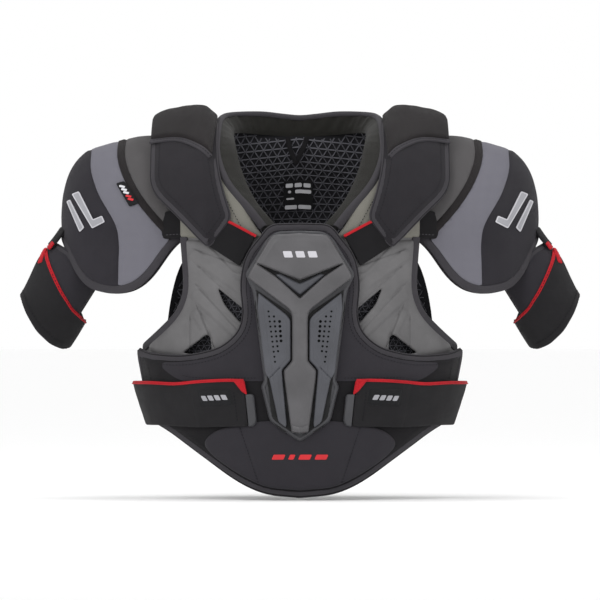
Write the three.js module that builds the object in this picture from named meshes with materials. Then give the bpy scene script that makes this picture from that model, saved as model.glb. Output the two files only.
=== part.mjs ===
// Ice hockey shoulder pads, senior medium, as an assembly of separate pads, shells and straps.
// Millimetres, +Z up. The wearer faces -Y and the wearer's left is +X.
// Origin: the middle of the neck opening, level with the tops of the wearer's shoulders.
import * as THREE from 'three';

// ---------------------------------------------------------------- driving dimensions
const DEG = Math.PI / 180;
const yokeLevel = -110;            // height where the shoulder arches turn into chest and back
const sectionPower = 2.3;          // superellipse exponent of the torso's section
const halfWidths = [[-400, 114], [-330, 134], [-272, 152], [-240, 160], [-180, 167], [-110, 185]];
const halfDepths = [[-400, 99], [-330, 105], [-240, 112], [-110, 115]];
const archTopAtNeck = -4;          // inner skin of the arch at archNeckX
const archNeckX = 90;
const archFall = 0.16;             // how fast the arch drops towards the arm

// Each layer lies between two distances from the wearer's body.
const linerLayer = [0, 3];
const padLayer = [6, 17];
const webbingLayer = [19, 22];
const harnessLayer = [22.5, 29];
const platingLayer = [20.5, 27];
const flapLayer = [24.5, 31];
const flapBandLayer = [33, 36];
const bellyLayer = [31, 33.5];
const sternumBaseLayer = [31, 35];
const sternumShellLayer = [37, 46];
const sternumVentLayer = [37, 41];
const sideStrapLayer = [31.5, 35];
const labelLayer = [-3, -1.5];

const sternumTop = -108;
const sideStrapTop = -272;
const sideStrapBottom = -320;
const strapTopAtFront = -268;
const sideStrapFront = 16.5;       // degrees round the body from the front
const sideStrapRear = 125;
const sideAnchorEnds = [126.5, 138];
const tipEnds = [13.6, 16.1];      // the rubber tip just ahead of the strap's front end
const tipTop = -284;
const tipBottom = -318;
const sideTabEnds = [17, 20];
const sideTabTop = -270;
const sideTabBottom = -288;
const sideTabLayer = [36.5, 38];
const spineFace = 152;             // flat outer face of the spine pad

const capCentre = [158, 0, -95];
const capRadii = [107, 88, 98];
const capShellLayer = [-7, 0];
const capLinerLayer = [-17, -9];
const capLinerSkirt = 0.5;         // share of the skirt's depth that the liner reaches
const capMedial = -15;             // the cap's front and rear medial edges, degrees from the front
const capCrown = 84;               // the dome's opening beside the flap, degrees up
const capDomeShare = 0.68;
const capTaper = 0.0004;           // how fast the skirt draws in, per millimetre of drop
const capPower = [2, 2.25];        // superellipse exponent of the dome in front and on its outer side
const capRim = [[-15, 104], [-5, 118], [5, 150], [15, 164], [27, 167], [45, 160], [57, 141],
  [66, 119], [78, 110], [90, 106]];

const armStart = [190, 0, -47];
const armLean = 32 * DEG;          // the upper arm hangs this far out from straight down
const guardRadius = 36;
const guardDepthRatio = 1.08;
const guardReach = 108;            // degrees each way round the arm from its outer side
const guardTop = [[0, 102], [60, 103], [78, 112], [92, 114], [108, 106]];
const guardShellLayer = [-5, 0];
const guardLinerLayer = [-13, -7];
// The strap's edges slant: each is a middle distance along the arm less a share of the cosine.
const armStrapUpper = { middle: 135, slant: 23 };
const armStrapLower = { middle: 186, slant: 20 };
const guardLower = { middle: 182, slant: 20 };
const armStrapLayer = [2, 4.5];
const armStrapEnds = [16, 196];
const armAnchorEnds = [200, 262];
const armTabLayer = [6, 7.5];
const armAnchorInset = 3;          // the anchor tab is this much narrower than its strap on each side
const armTabEnds = [20, 38];
const armTabStarts = 2;            // the pull tab's near and far edges, below the strap's upper edge
const armTabStops = 18;
const linkEnds = [-16, 12];
const linkAlongArm = [103, 111];

const spineTop = -104;
const spineLength = 130;
const spineHalfWidth = 15;
const loopStart = [-12, 64, -14];  // where the hang loop leaves the back
const loopSpan = 20;
const loopDrop = 24;
const loopForward = 9;
const tetherStart = [126, -93, -84];
const tetherRun = [6, 3];          // how far the tether reaches sideways and back, to the cap
const tetherWidth = 22;
const tetherSlant = 3;
const collarThickness = 8;
const sidewaysColumns = 0.35;      // share of a wrapped panel's columns that are evenly spaced

// ---------------------------------------------------------------- helpers
const group = new THREE.Group();

function between(stations, value) {
  // Straight-line value between [position, value] stations, held beyond both ends.
  const first = stations[0];
  const last = stations[stations.length - 1];
  if (value <= first[0]) return first[1];
  if (value >= last[0]) return last[1];
  const next = stations.findIndex((station) => station[0] >= value);
  const [lowAt, low] = stations[next - 1];
  const [highAt, high] = stations[next];
  return low + (high - low) * (value - lowAt) / (highAt - lowAt);
}

function rowAt(rows, share) {
  const position = share * (rows.length - 1);
  const index = Math.min(Math.floor(position), rows.length - 2);
  const blend = position - index;
  return rows[index].map((value, k) => value + (rows[index + 1][k] - value) * blend);
}

function material(color, roughness, metalness = 0) {
  return new THREE.MeshStandardMaterial({ color, roughness, metalness });
}

function faceOut(positions, triangles) {
  let volume = 0;
  for (const [a, b, c] of triangles) {
    const [p, q, r] = [positions[a], positions[b], positions[c]];
    volume += p[0] * (q[1] * r[2] - q[2] * r[1]);
    volume += p[1] * (q[2] * r[0] - q[0] * r[2]);
    volume += p[2] * (q[0] * r[1] - q[1] * r[0]);
  }
  return volume < 0 ? triangles.map(([a, b, c]) => [a, c, b]) : triangles;
}

// A closed shell: pointAt(along, across, offset) gives a point of the surface at an offset from it.
function shell(name, finish, pointAt, [inner, outer], alongCount, acrossCount) {
  const positions = [];
  const triangles = [];
  const rowLength = acrossCount + 1;
  const layerLength = (alongCount + 1) * rowLength;
  for (const offset of [inner, outer]) {
    for (let i = 0; i <= alongCount; i++) {
      for (let j = 0; j <= acrossCount; j++) {
        positions.push(pointAt(i / alongCount, j / acrossCount, offset));
      }
    }
  }
  const corner = (layer, i, j) => layer * layerLength + i * rowLength + j;
  const quad = (a, b, c, d) => triangles.push([a, b, c], [a, c, d]);
  for (let i = 0; i < alongCount; i++) {
    for (let j = 0; j < acrossCount; j++) {
      quad(corner(1, i, j), corner(1, i + 1, j), corner(1, i + 1, j + 1), corner(1, i, j + 1));
      quad(corner(0, i, j), corner(0, i, j + 1), corner(0, i + 1, j + 1), corner(0, i + 1, j));
    }
    quad(corner(0, i, 0), corner(0, i + 1, 0), corner(1, i + 1, 0), corner(1, i, 0));
    quad(corner(1, i, acrossCount), corner(1, i + 1, acrossCount),
      corner(0, i + 1, acrossCount), corner(0, i, acrossCount));
  }
  for (let j = 0; j < acrossCount; j++) {
    quad(corner(1, 0, j), corner(1, 0, j + 1), corner(0, 0, j + 1), corner(0, 0, j));
    quad(corner(0, alongCount, j), corner(0, alongCount, j + 1),
      corner(1, alongCount, j + 1), corner(1, alongCount, j));
  }
  const geometry = new THREE.BufferGeometry();
  geometry.setAttribute('position', new THREE.Float32BufferAttribute(positions.flat(), 3));
  geometry.setIndex(faceOut(positions, triangles).flat());
  geometry.computeVertexNormals();
  const mesh = new THREE.Mesh(geometry, finish);
  mesh.name = name;
  group.add(mesh);
}

// Runs a maker once for the wearer's left (+X) and once for the right.
function bothSides(make) {
  for (const [word, side] of [['left', 1], ['right', -1]]) {
    const mirror = (pointAt) => (along, across, offset) => {
      const [x, y, z] = pointAt(along, across, offset);
      return [side * x, y, z];
    };
    make(word, mirror);
  }
}

// ---------------------------------------------------------------- body surfaces
function torsoDepth(x, level, offset) {
  const width = between(halfWidths, level) + offset;
  const depth = between(halfDepths, level) + offset;
  const ratio = Math.min(Math.abs(x) / width, 0.995);
  return depth * (1 - ratio ** sectionPower) ** (1 / sectionPower);
}

function archRise(x, offset) {
  return archTopAtNeck - archFall * (Math.abs(x) - archNeckX) - yokeLevel + offset;
}

// path: millimetres below the yoke in front when negative, degrees over the shoulder from
// 0 in front to 180 behind, and 180 plus the millimetres below the yoke on the back.
function bodyPoint(x, path, offset) {
  if (path < 0) return [x, -torsoDepth(x, yokeLevel + path, offset), yokeLevel + path];
  if (path > 180) {
    const level = yokeLevel + 180 - path;
    return [x, torsoDepth(x, level, offset), level];
  }
  const depth = torsoDepth(x, yokeLevel, offset);
  return [x, -depth * Math.cos(path * DEG), yokeLevel + archRise(x, offset) * Math.sin(path * DEG)];
}

// The path of a front point at height level.
function frontPath(x, level, offset) {
  if (level < yokeLevel) return level - yokeLevel;
  return Math.asin(Math.min((level - yokeLevel) / archRise(x, offset), 1)) / DEG;
}

// A panel ruled between two edges; each row is [x, path, x, path].
function panel(rows) {
  return (along, across, offset) => {
    const [xA, pathA, xB, pathB] = rowAt(rows, along);
    return bodyPoint(xA + (xB - xA) * across, pathA + (pathB - pathA) * across, offset);
  };
}

// A full-width panel, its columns closer together at the sides, where the torso bends most.
function wrappedPanel(rows) {
  const surface = panel(rows);
  return (along, across, offset) => {
    const eased = (1 - Math.cos(Math.PI * across)) / 2;
    return surface(along, sidewaysColumns * across + (1 - sidewaysColumns) * eased, offset);
  };
}

// Rows given by front heights, [x, level, x, level], turned into rows by path.
function frontRows(rows, offset) {
  return rows.map(([xA, levelA, xB, levelB]) => (
    [xA, frontPath(xA, levelA, offset), xB, frontPath(xB, levelB, offset)]));
}

// Rows across the whole front, [half-width, level].
function fullRows(rows) {
  return rows.map(([half, level]) => [-half, level - yokeLevel, half, level - yokeLevel]);
}

// A point round the torso, angle in degrees from the front towards the wearer's left.
function ringPoint(angle, level, offset) {
  const width = between(halfWidths, level) + offset;
  const depth = between(halfDepths, level) + offset;
  const sine = Math.sin(angle * DEG);
  const cosine = Math.cos(angle * DEG);
  const power = 2 / sectionPower;
  return [
    width * Math.sign(sine) * Math.abs(sine) ** power,
    -depth * Math.sign(cosine) * Math.abs(cosine) ** power,
    level,
  ];
}

function capPoint(turn, share, offset, skirtDepth) {
  const [rx, ry, rz] = capRadii.map((radius) => radius + offset);
  const tilt = capCrown * Math.max(0, 1 - share / capDomeShare) * DEG;
  const skirt = skirtDepth * Math.max(0, (share - capDomeShare) / (1 - capDomeShare));
  const frontTurn = turn > 90 ? 180 - turn : turn;
  const drop = skirt * (between(capRim, frontTurn) + capCentre[2]);
  const outward = Math.max(0, Math.sin(turn * DEG)) ** 3;
  const power = 2 / (capPower[0] + (capPower[1] - capPower[0]) * outward);
  const reach = Math.cos(tilt) ** power * (1 - drop * capTaper);
  return [
    capCentre[0] + rx * reach * Math.sin(turn * DEG),
    -ry * reach * Math.cos(turn * DEG),
    capCentre[2] + rz * Math.sin(tilt) ** power - drop,
  ];
}

// A point round the upper arm: along it, and degrees from its outer side towards the front.
function armPoint(distance, angle, offset) {
  const radius = guardRadius + offset;
  const down = [Math.sin(armLean), -Math.cos(armLean)];
  const out = [Math.cos(armLean), Math.sin(armLean)];
  const lift = radius * Math.cos(angle * DEG);
  return [
    armStart[0] + down[0] * distance + out[0] * lift,
    -radius * guardDepthRatio * Math.sin(angle * DEG),
    armStart[2] + down[1] * distance + out[1] * lift,
  ];
}

// ---------------------------------------------------------------- finishes
const mouldedGrey = () => material(0x696969, 0.62);
const ventGrey = () => material(0x46484c, 0.55);
const neoprene = () => material(0x323034, 0.85);
const webbing = () => material(0x2c2c2d, 0.8);
const redTape = () => material(0xc8232d, 0.6);
const linerMesh = () => material(0x1b1b1d, 0.95);
const capFabric = () => material(0x646262, 0.85);
const guardFabric = () => material(0x262527, 0.8);
const rubberGrey = () => material(0x4a4a4c, 0.6);

// ---------------------------------------------------------------- back
const backRows = [[-74, 129, 74, 129], [-82, 150, 82, 150], [-84, 176, 84, 176],
  [-128, 200, 128, 200], [-142, 240, 142, 240], [-150, 300, 150, 300], [-142, 345, 142, 345],
  [-132, 395, 132, 395]];
shell('back_liner', linerMesh(), wrappedPanel(backRows), linerLayer, 14, 12);
shell('back_pad', neoprene(), wrappedPanel(backRows), padLayer, 14, 12);

const waistBackRows = [[-160, 310, 160, 310], [-162, 340, 162, 340], [-148, 372, 148, 372],
  [-128, 398, 128, 398]];
shell('back_waist_pad', neoprene(), wrappedPanel(waistBackRows), platingLayer, 3, 14);

const plateRows = [[20, 196, 104, 196], [20, 220, 122, 220], [20, 262, 124, 262],
  [20, 300, 96, 300]];
bothSides((word, mirror) => {
  shell(`back_plate_${word}`, mouldedGrey(), mirror(panel(plateRows)), platingLayer, 4, 5);
});

function spinePoint(along, across, offset) {
  const level = spineTop - spineLength * along;
  const x = spineHalfWidth * (2 * across - 1);
  const inner = torsoDepth(x, level, platingLayer[0]);
  return [x, offset === 0 ? inner : spineFace, level];
}
shell('spine_pad', rubberGrey(), spinePoint, [0, 1], 4, 2);

// ---------------------------------------------------------------- collar
// Edge of the neck opening from the front end to the middle of the back, and its width.
const collarEdge = [
  // x, y, z of the inner edge, then the outward lean of the band's outer edge as x, y, z
  [41, -114, -99, 13, 1, -2],
  [58, -112, -79, 14, 1, 0],
  [76, -97, -50, 13, 0, 2],
  [83, -66, -18, 11, 0, 1],
  [83, -30, -2, 5, 0, 6],
  [81, 10, 4, 1, 0, 14],
  [70, 46, 0, -2, -4, 22],
  [42, 66, -4, 0, -4, 26],
  [0, 74, -6, 0, -4, 29],
];
const collarHalf = collarEdge.slice(0, -1).map(([x, y, z, dx, dy, dz]) => [-x, y, z, -dx, dy, dz]);
const collarRows = collarHalf.concat([collarEdge[collarEdge.length - 1]],
  collarEdge.slice(0, -1).reverse());
function collarPoint(along, across, offset) {
  const [x, y, z, dx, dy, dz] = rowAt(collarRows, along);
  // The band's thickness points away from the neck: forward on the chest, outward at the back.
  const facing = new THREE.Vector3(x * 0.35, y, z < -40 ? 0 : 20).normalize();
  return [x + dx * across + facing.x * offset, y + dy * across + facing.y * offset,
    z + dz * across + facing.z * offset];
}
shell('collar_pad', material(0x32302c, 0.9), collarPoint, [0, collarThickness], 32, 2);

function hangLoopPoint(along, across, offset) {
  // A narrow tape hanging in a V inside the back of the neck opening.
  const droop = Math.sin(Math.PI * along);
  const [x, y, z] = loopStart;
  return [x + loopSpan * along + offset * 0.2, y - loopForward * droop - 2 * across,
    z - loopDrop * droop - offset];
}
shell('hang_loop', webbing(), hangLoopPoint, [0, 6], 10, 1);

const labelRows = [[-12, 150, 15, 150], [-12, 164, 15, 164]];
shell('size_label', material(0xb8b8ba, 0.7), panel(labelRows), labelLayer, 2, 2);

// ---------------------------------------------------------------- shoulder arches and chest
const archRows = [[57, 3, 121, 3], [74, 20, 124, 20], [93, 36, 128, 36], [101, 62, 132, 62],
  [103, 90, 134, 90], [101, 125, 130, 125], [93, 150, 124, 150], [93, 174, 120, 174]];
const chestRows = frontRows([[14, -114, 121, -116], [14, -150, 119, -150], [14, -185, 119, -185],
  [14, -215, 148, -219], [14, -243, 167, -241], [14, -262, 160, -258]], padLayer[1]);
bothSides((word, mirror) => {
  shell(`shoulder_arch_${word}`, material(0x7d7b73, 0.85), mirror(panel(archRows)), padLayer, 14, 3);
  shell(`chest_liner_${word}`, linerMesh(), mirror(panel(chestRows)), linerLayer, 5, 6);
  shell(`chest_pad_${word}`, mouldedGrey(), mirror(panel(chestRows)), padLayer, 5, 6);
});

// ---------------------------------------------------------------- front harness and sternum
const harnessRows = fullRows([[34, -98], [60, -125], [62, -163], [58, -208], [84, -224],
  [112, -235], [134, -238], [157, -240], [178, -241], [172, -272], [163, -306], [146, -326],
  [98, -357], [50, -386], [34, -397]]);
shell('front_harness_pad', neoprene(), wrappedPanel(harnessRows), harnessLayer, 14, 16);

const bellyRows = fullRows([[98, -339], [86, -347], [66, -361], [46, -374], [34, -389]]);
shell('belly_panel', material(0x343236, 0.8), panel(bellyRows), bellyLayer, 4, 8);

const baseRows = fullRows([[33, sternumTop], [53, -140], [53, -170], [46, -221], [40, -272],
  [33, -314], [5, -336]]);
shell('sternum_base', rubberGrey(), panel(baseRows), sternumBaseLayer, 6, 4);

const sternumRows = fullRows([[31, sternumTop - 2], [52, -140], [58, -157], [10, -196], [8, -251],
  [16.5, -259], [10, -325]]);
shell('sternum_shell', mouldedGrey(), panel(sternumRows), sternumShellLayer, 6, 4);

const ventRows = frontRows([[36, -178, 50, -176], [15, -198, 47, -198], [13, -250, 41, -250],
  [20, -259, 38, -262], [15, -318, 24, -314]], sternumVentLayer[1]);
bothSides((word, mirror) => {
  shell(`sternum_vent_${word}`, ventGrey(), mirror(panel(ventRows)), sternumVentLayer, 4, 3);
});

// ---------------------------------------------------------------- clavicle straps
const clavicleRows = frontRows([[92, -99, 63, -117], [101, -117, 68, -139]], webbingLayer[1]);
bothSides((word, mirror) => {
  shell(`clavicle_strap_${word}`, webbing(), mirror(panel(clavicleRows)), webbingLayer, 2, 3);
});

// ---------------------------------------------------------------- shoulder flaps
const flapRows = [[91, 112, 150, 112], [90, 90, 163, 90]].concat(frontRows([[90, 6, 164, 4],
  [89, -24, 164, -30], [85, -58, 162, -61], [79, -84, 128, -98], [98, -119, 104, -123]],
flapLayer[1]));
const flapBandRows = [[94, 108, 146, 108], [92, 90, 160, 90], [92, 68, 161, 66]];
bothSides((word, mirror) => {
  shell(`clavicle_flap_${word}`, neoprene(), mirror(panel(flapRows)), flapLayer, 12, 5);
  shell(`flap_top_band_${word}`, neoprene(), mirror(panel(flapBandRows)), flapBandLayer, 4, 4);
});

// ---------------------------------------------------------------- shoulder caps
function capSurface(skirtDepth) {
  return (along, across, offset) => {
    const turn = capMedial + (180 - 2 * capMedial) * along;
    return capPoint(turn, across, offset, skirtDepth);
  };
}
function capTetherPoint(along, across, offset) {
  const [x, y, z] = tetherStart;
  return [x + tetherRun[0] * along - tetherSlant * across, y + tetherRun[1] * along + offset,
    z - tetherWidth * across];
}
bothSides((word, mirror) => {
  shell(`cap_shell_${word}`, capFabric(), mirror(capSurface(1)), capShellLayer, 18, 7);
  shell(`cap_liner_${word}`, linerMesh(), mirror(capSurface(capLinerSkirt)), capLinerLayer, 18, 7);
  shell(`cap_tether_${word}`, webbing(), mirror(capTetherPoint), [0, 2], 1, 1);
});

// ---------------------------------------------------------------- upper-arm guards
function slanted({ middle, slant }) {
  return (angle) => middle - slant * Math.cos(angle * DEG);
}
function armWall(upper, lower, from, to) {
  return (along, across, offset) => {
    const angle = from + (to - from) * along;
    return armPoint(upper(angle) + (lower(angle) - upper(angle)) * across, angle, offset);
  };
}
const guardUpperEdge = (angle) => between(guardTop, Math.abs(angle));
const strapUpperEdge = slanted(armStrapUpper);
const strapLowerEdge = slanted(armStrapLower);
const guardWall = armWall(guardUpperEdge, slanted(guardLower), -guardReach, guardReach);
const strapWall = armWall(strapUpperEdge, strapLowerEdge, ...armStrapEnds);
const anchorWall = armWall((angle) => strapUpperEdge(angle) + armAnchorInset,
  (angle) => strapLowerEdge(angle) - armAnchorInset, ...armAnchorEnds);
const armTabWall = armWall((angle) => strapUpperEdge(angle) + armTabStarts,
  (angle) => strapUpperEdge(angle) + armTabStops, ...armTabEnds);
const linkWall = armWall(() => linkAlongArm[0], () => linkAlongArm[1], ...linkEnds);
bothSides((word, mirror) => {
  shell(`bicep_guard_shell_${word}`, guardFabric(), mirror(guardWall), guardShellLayer, 14, 3);
  shell(`bicep_guard_liner_${word}`, linerMesh(), mirror(guardWall), guardLinerLayer, 14, 3);
  shell(`bicep_strap_${word}`, webbing(), mirror(strapWall), armStrapLayer, 12, 2);
  shell(`bicep_strap_anchor_${word}`, webbing(), mirror(anchorWall), armStrapLayer, 4, 1);
  shell(`bicep_pull_tab_${word}`, redTape(), mirror(armTabWall), armTabLayer, 2, 1);
  shell(`guard_link_${word}`, redTape(), mirror(linkWall), armStrapLayer, 2, 1);
});

// ---------------------------------------------------------------- side straps
function bandSurface(from, to, top, bottom, topAtStart) {
  return (along, across, offset) => {
    const angle = from + (to - from) * along;
    const upper = topAtStart + (top - topAtStart) * Math.min(1, along * 3);
    return ringPoint(angle, upper + (bottom - upper) * across, offset);
  };
}
const sideBand = bandSurface(sideStrapFront, sideStrapRear, sideStrapTop, sideStrapBottom,
  strapTopAtFront);
const tipBand = bandSurface(...tipEnds, tipTop, tipBottom, tipTop);
const tabBand = bandSurface(...sideTabEnds, sideTabTop, sideTabBottom, sideTabTop);
const anchorBand = bandSurface(...sideAnchorEnds, sideStrapTop, sideStrapBottom, sideStrapTop);
bothSides((word, mirror) => {
  shell(`side_strap_${word}`, webbing(), mirror(sideBand), sideStrapLayer, 16, 2);
  shell(`side_strap_tip_${word}`, rubberGrey(), mirror(tipBand), sideStrapLayer, 1, 1);
  shell(`side_pull_tab_${word}`, redTape(), mirror(tabBand), sideTabLayer, 1, 1);
  shell(`side_strap_anchor_${word}`, webbing(), mirror(anchorBand), sideStrapLayer, 3, 1);
});

export default group;
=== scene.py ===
"""Ice hockey shoulder pads: the visible pieces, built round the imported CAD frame.

Shapes are worked out in millimetres and turned into metres when a mesh is made. The wearer faces -Y.
A soft panel is cut from a fine grid along the zero line of a distance field, so its outline can have
any shape; the same field gives its rolled edge, its binding and its stitches. Its (u, v) points lie on
a surface, such as body_map, which turns them and an offset from the surface into a place.
"""

import math

import bpy
import numpy as np
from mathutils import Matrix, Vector
from mathutils.kdtree import KDTree


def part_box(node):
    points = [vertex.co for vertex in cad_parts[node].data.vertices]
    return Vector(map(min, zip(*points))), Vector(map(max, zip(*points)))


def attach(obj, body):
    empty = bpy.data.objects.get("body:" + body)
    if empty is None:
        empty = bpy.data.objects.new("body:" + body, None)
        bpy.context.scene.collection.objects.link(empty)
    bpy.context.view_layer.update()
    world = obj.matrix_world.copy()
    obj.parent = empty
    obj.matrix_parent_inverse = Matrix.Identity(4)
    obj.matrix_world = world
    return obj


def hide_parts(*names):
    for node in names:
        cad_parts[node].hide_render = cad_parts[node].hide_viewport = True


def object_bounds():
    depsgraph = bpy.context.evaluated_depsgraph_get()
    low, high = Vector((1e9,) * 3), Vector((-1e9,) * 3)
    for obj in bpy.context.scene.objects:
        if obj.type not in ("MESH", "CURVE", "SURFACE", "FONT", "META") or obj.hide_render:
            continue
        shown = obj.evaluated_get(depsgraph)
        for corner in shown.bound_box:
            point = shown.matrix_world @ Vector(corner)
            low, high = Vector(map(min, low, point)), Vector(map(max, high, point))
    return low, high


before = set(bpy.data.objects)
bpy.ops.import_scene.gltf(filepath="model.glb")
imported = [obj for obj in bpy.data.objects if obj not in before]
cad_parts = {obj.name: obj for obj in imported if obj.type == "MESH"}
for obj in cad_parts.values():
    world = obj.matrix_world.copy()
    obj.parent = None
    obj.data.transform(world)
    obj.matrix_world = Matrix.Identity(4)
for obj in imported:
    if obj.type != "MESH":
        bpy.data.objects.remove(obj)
cad_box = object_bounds()
MM = 0.001
DEG = math.pi / 180
SIDES = (("left", 1), ("right", -1))

# ---------------------------------------------------------------- camera
VIEW_WIDTH = 0.66
CAMERA_DISTANCE = 10.0
FRONT_DEPTH = 0.1             # how far in front of the origin the view is VIEW_WIDTH wide
SENSOR = 36
VIEW_CENTRE = (0.0, 0.0, -0.181)
camera_data = bpy.data.cameras.new("camera")
camera_data.sensor_width = SENSOR
camera_data.lens = SENSOR * (CAMERA_DISTANCE - FRONT_DEPTH) / VIEW_WIDTH
camera_data.clip_end = 50
camera = bpy.data.objects.new("camera", camera_data)
bpy.context.collection.objects.link(camera)
camera.location = (VIEW_CENTRE[0], -CAMERA_DISTANCE, VIEW_CENTRE[2])
camera.rotation_euler = (90 * DEG, 0, 0)
bpy.context.scene.camera = camera


# ---------------------------------------------------------------- body surfaces, as in the CAD frame
YOKE = -110.0                 # height where the shoulder arches turn into chest and back
POWER = 2.3                   # superellipse exponent of the torso's section
HALF_WIDTHS = np.array([[-400, 114], [-330, 134], [-272, 152], [-240, 160], [-180, 167], [-110, 185]])
HALF_DEPTHS = np.array([[-400, 99], [-330, 105], [-240, 112], [-110, 115]])
TABLE_STEP = 2.0
TABLE_BLUR = 14.0             # how far the tables' corners are rounded
ARCH_TOP = -4.0
ARCH_X = 90.0
ARCH_FALL = 0.16
QUARTER = 185.0               # panel length over a quarter of the shoulder arch
CAP_X = 158.0
CAP_Z = -95.0
CAP_CORNER = np.array(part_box("cap_shell_left")[1]) / MM
CAP_RADII = CAP_CORNER - np.array([CAP_X, 0, CAP_Z])
CAP_SQUARE = 0.75             # how much squarer than an ellipse the cap's outer shoulder is
CAP_TAPER = 0.0004            # how much the cap narrows per millimetre below its widest height
ARM_START = np.array([187.0, 0.0, -49.0])
ARM_LEAN = 32 * DEG
ARM_DOWN = np.array([math.sin(ARM_LEAN), 0, -math.cos(ARM_LEAN)])
ARM_OUT = np.array([math.cos(ARM_LEAN), 0, math.sin(ARM_LEAN)])
GUARD_RADIUS = 36.0
GUARD_DEPTH = 1.08


def smooth_table(stations):
    """Stations turned into a table whose corners are rounded."""
    at = np.arange(-420.0, -80.0, TABLE_STEP)
    values = np.interp(at, stations[:, 0], stations[:, 1])
    weights = np.exp(-(np.arange(-30, 31) * TABLE_STEP / TABLE_BLUR) ** 2)
    padded = np.pad(values, 30, mode="reflect", reflect_type="odd")
    return at, np.convolve(padded, weights / weights.sum(), mode="valid")


WIDTH_TABLE = smooth_table(HALF_WIDTHS)
DEPTH_TABLE = smooth_table(HALF_DEPTHS)


def arch_rise(x, offset):
    return ARCH_TOP - ARCH_FALL * (np.abs(x) - ARCH_X) - YOKE + offset


def body_map(u, v, offset):
    """u is x; v is millimetres along the body: negative down the chest, 0 to two QUARTERs over the
    shoulder, and more down the back."""
    u, v = np.asarray(u, float), np.asarray(v, float)
    level = np.where(v < 0, YOKE + v, np.where(v > 2 * QUARTER, YOKE + 2 * QUARTER - v, YOKE))
    ratio = np.minimum(np.abs(u) / (np.interp(level, *WIDTH_TABLE) + offset), 0.995)
    depth = (np.interp(level, *DEPTH_TABLE) + offset) * (1 - ratio ** POWER) ** (1 / POWER)
    turn = np.clip(v / QUARTER, 0, 2) * math.pi / 2
    return np.stack([u, -depth * np.cos(turn), level + arch_rise(u, offset) * np.sin(turn)], axis=-1)


def to_v(x, z, offset):
    """The v of a front point at height z."""
    if z < YOKE:
        return z - YOKE
    return math.asin(min((z - YOKE) / float(arch_rise(x, offset)), 1.0)) / (math.pi / 2) * QUARTER


def front(points, offset):
    """Front-view (x, z, round) points as (u, v, round) points of body_map."""
    return [(p[0], to_v(p[0], p[1], offset), *p[2:]) for p in points]


def ring_map(u, v, offset):
    """u is degrees round the torso from the front, v the height."""
    sine, cosine = np.sin(u * DEG), np.cos(u * DEG)
    x = (np.interp(v, *WIDTH_TABLE) + offset) * np.sign(sine) * np.abs(sine) ** (2 / POWER)
    y = -(np.interp(v, *DEPTH_TABLE) + offset) * np.sign(cosine) * np.abs(cosine) ** (2 / POWER)
    return np.stack([x, y, v + 0 * u], axis=-1)


# The cap's rim: degrees from the front or the back, and its depth below the origin.
CAP_RIM = np.array([[-15, 104], [-5, 118], [5, 148], [15, 163], [27, 167], [45, 161], [57, 144],
                    [66, 124], [78, 110], [90, 105]], float)
RIM_TURN = np.arange(-15.0, 91.0)
RIM_BLUR = np.exp(-(np.arange(-12, 13) / 6.0) ** 2)
RIM_DROP = np.convolve(np.pad(np.interp(RIM_TURN, CAP_RIM[:, 0], CAP_RIM[:, 1]), 12, mode="reflect",
                              reflect_type="odd"), RIM_BLUR / RIM_BLUR.sum(), mode="valid")


def cap_power(u, v):
    """Exponent of the dome: 1 for an ellipsoid, less where its outer shoulder is squarer."""
    outward = np.maximum(np.sin(np.asarray(u, float) * DEG), 0) ** 3
    return 2 / (2 + CAP_SQUARE * outward * smoothstep(v, 0.15, 0.5))


def cap_map(u, v, offset):
    """u is degrees round the cap from the front, v runs from 0 at the crown to 1 at the widest
    height and on to 2 at the rim."""
    u, v = np.asarray(u, float), np.asarray(v, float)
    rx, ry, rz = CAP_RADII[0] + offset, CAP_RADII[1] + offset, CAP_RADII[2] + offset
    tilt = (1 - np.clip(v, 0, 1)) * 90 * DEG
    across, rise = np.cos(tilt) ** cap_power(u, v), np.sin(tilt) ** cap_power(u, v)
    front_turn = np.where(u > 90, 180 - u, u)
    drop = np.clip(v - 1, 0, 2) * (np.interp(front_turn, RIM_TURN, RIM_DROP) + CAP_Z)
    reach = across * (1 - drop * CAP_TAPER)
    return np.stack([CAP_X + rx * reach * np.sin(u * DEG), -ry * reach * np.cos(u * DEG),
                     CAP_Z + rz * rise - drop], axis=-1)


def arm_map(u, v, offset):
    """u is millimetres down the arm, v degrees round it from its outer side towards the front."""
    radius = GUARD_RADIUS + offset
    place = ARM_START + np.multiply.outer(u, ARM_DOWN) + (radius * np.cos(v * DEG))[..., None] * ARM_OUT
    place[..., 1] = -radius * GUARD_DEPTH * np.sin(v * DEG)
    return place


# ---------------------------------------------------------------- outlines and distance fields
LINE_STEP = 2.5               # usual distance between the points of a line
CORNER = 4.0                  # how far a corner is rounded when its point has no third number
CORNER_POINTS = 7
TINY = 1e-9                   # keeps lengths that are divided by above zero


def rounded(points, step=LINE_STEP, closed=True):
    """(x, y, round) corners as a dense line, each corner rounded over that length along its sides."""
    dense = []
    count = len(points)
    for i, point in enumerate(points):
        here = np.array(point[:2], float)
        if not closed and i in (0, count - 1):
            dense.append(here)
            continue
        size = point[2] if len(point) > 2 else CORNER
        ends = []
        for neighbour in (points[i - 1], points[(i + 1) % count]):
            away = np.array(neighbour[:2], float) - here
            length = np.linalg.norm(away)
            ends.append(here + away / max(length, TINY) * min(size, 0.49 * length))
        for t in np.linspace(0, 1, CORNER_POINTS):
            dense.append((1 - t) ** 2 * ends[0] + 2 * t * (1 - t) * here + t * t * ends[1])
    if closed:
        dense.append(dense[0])
    dense = np.array(dense)
    keep = np.concatenate([[True], np.linalg.norm(np.diff(dense, axis=0), axis=1) > 1e-6])
    return resample(dense[keep], step)


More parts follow.
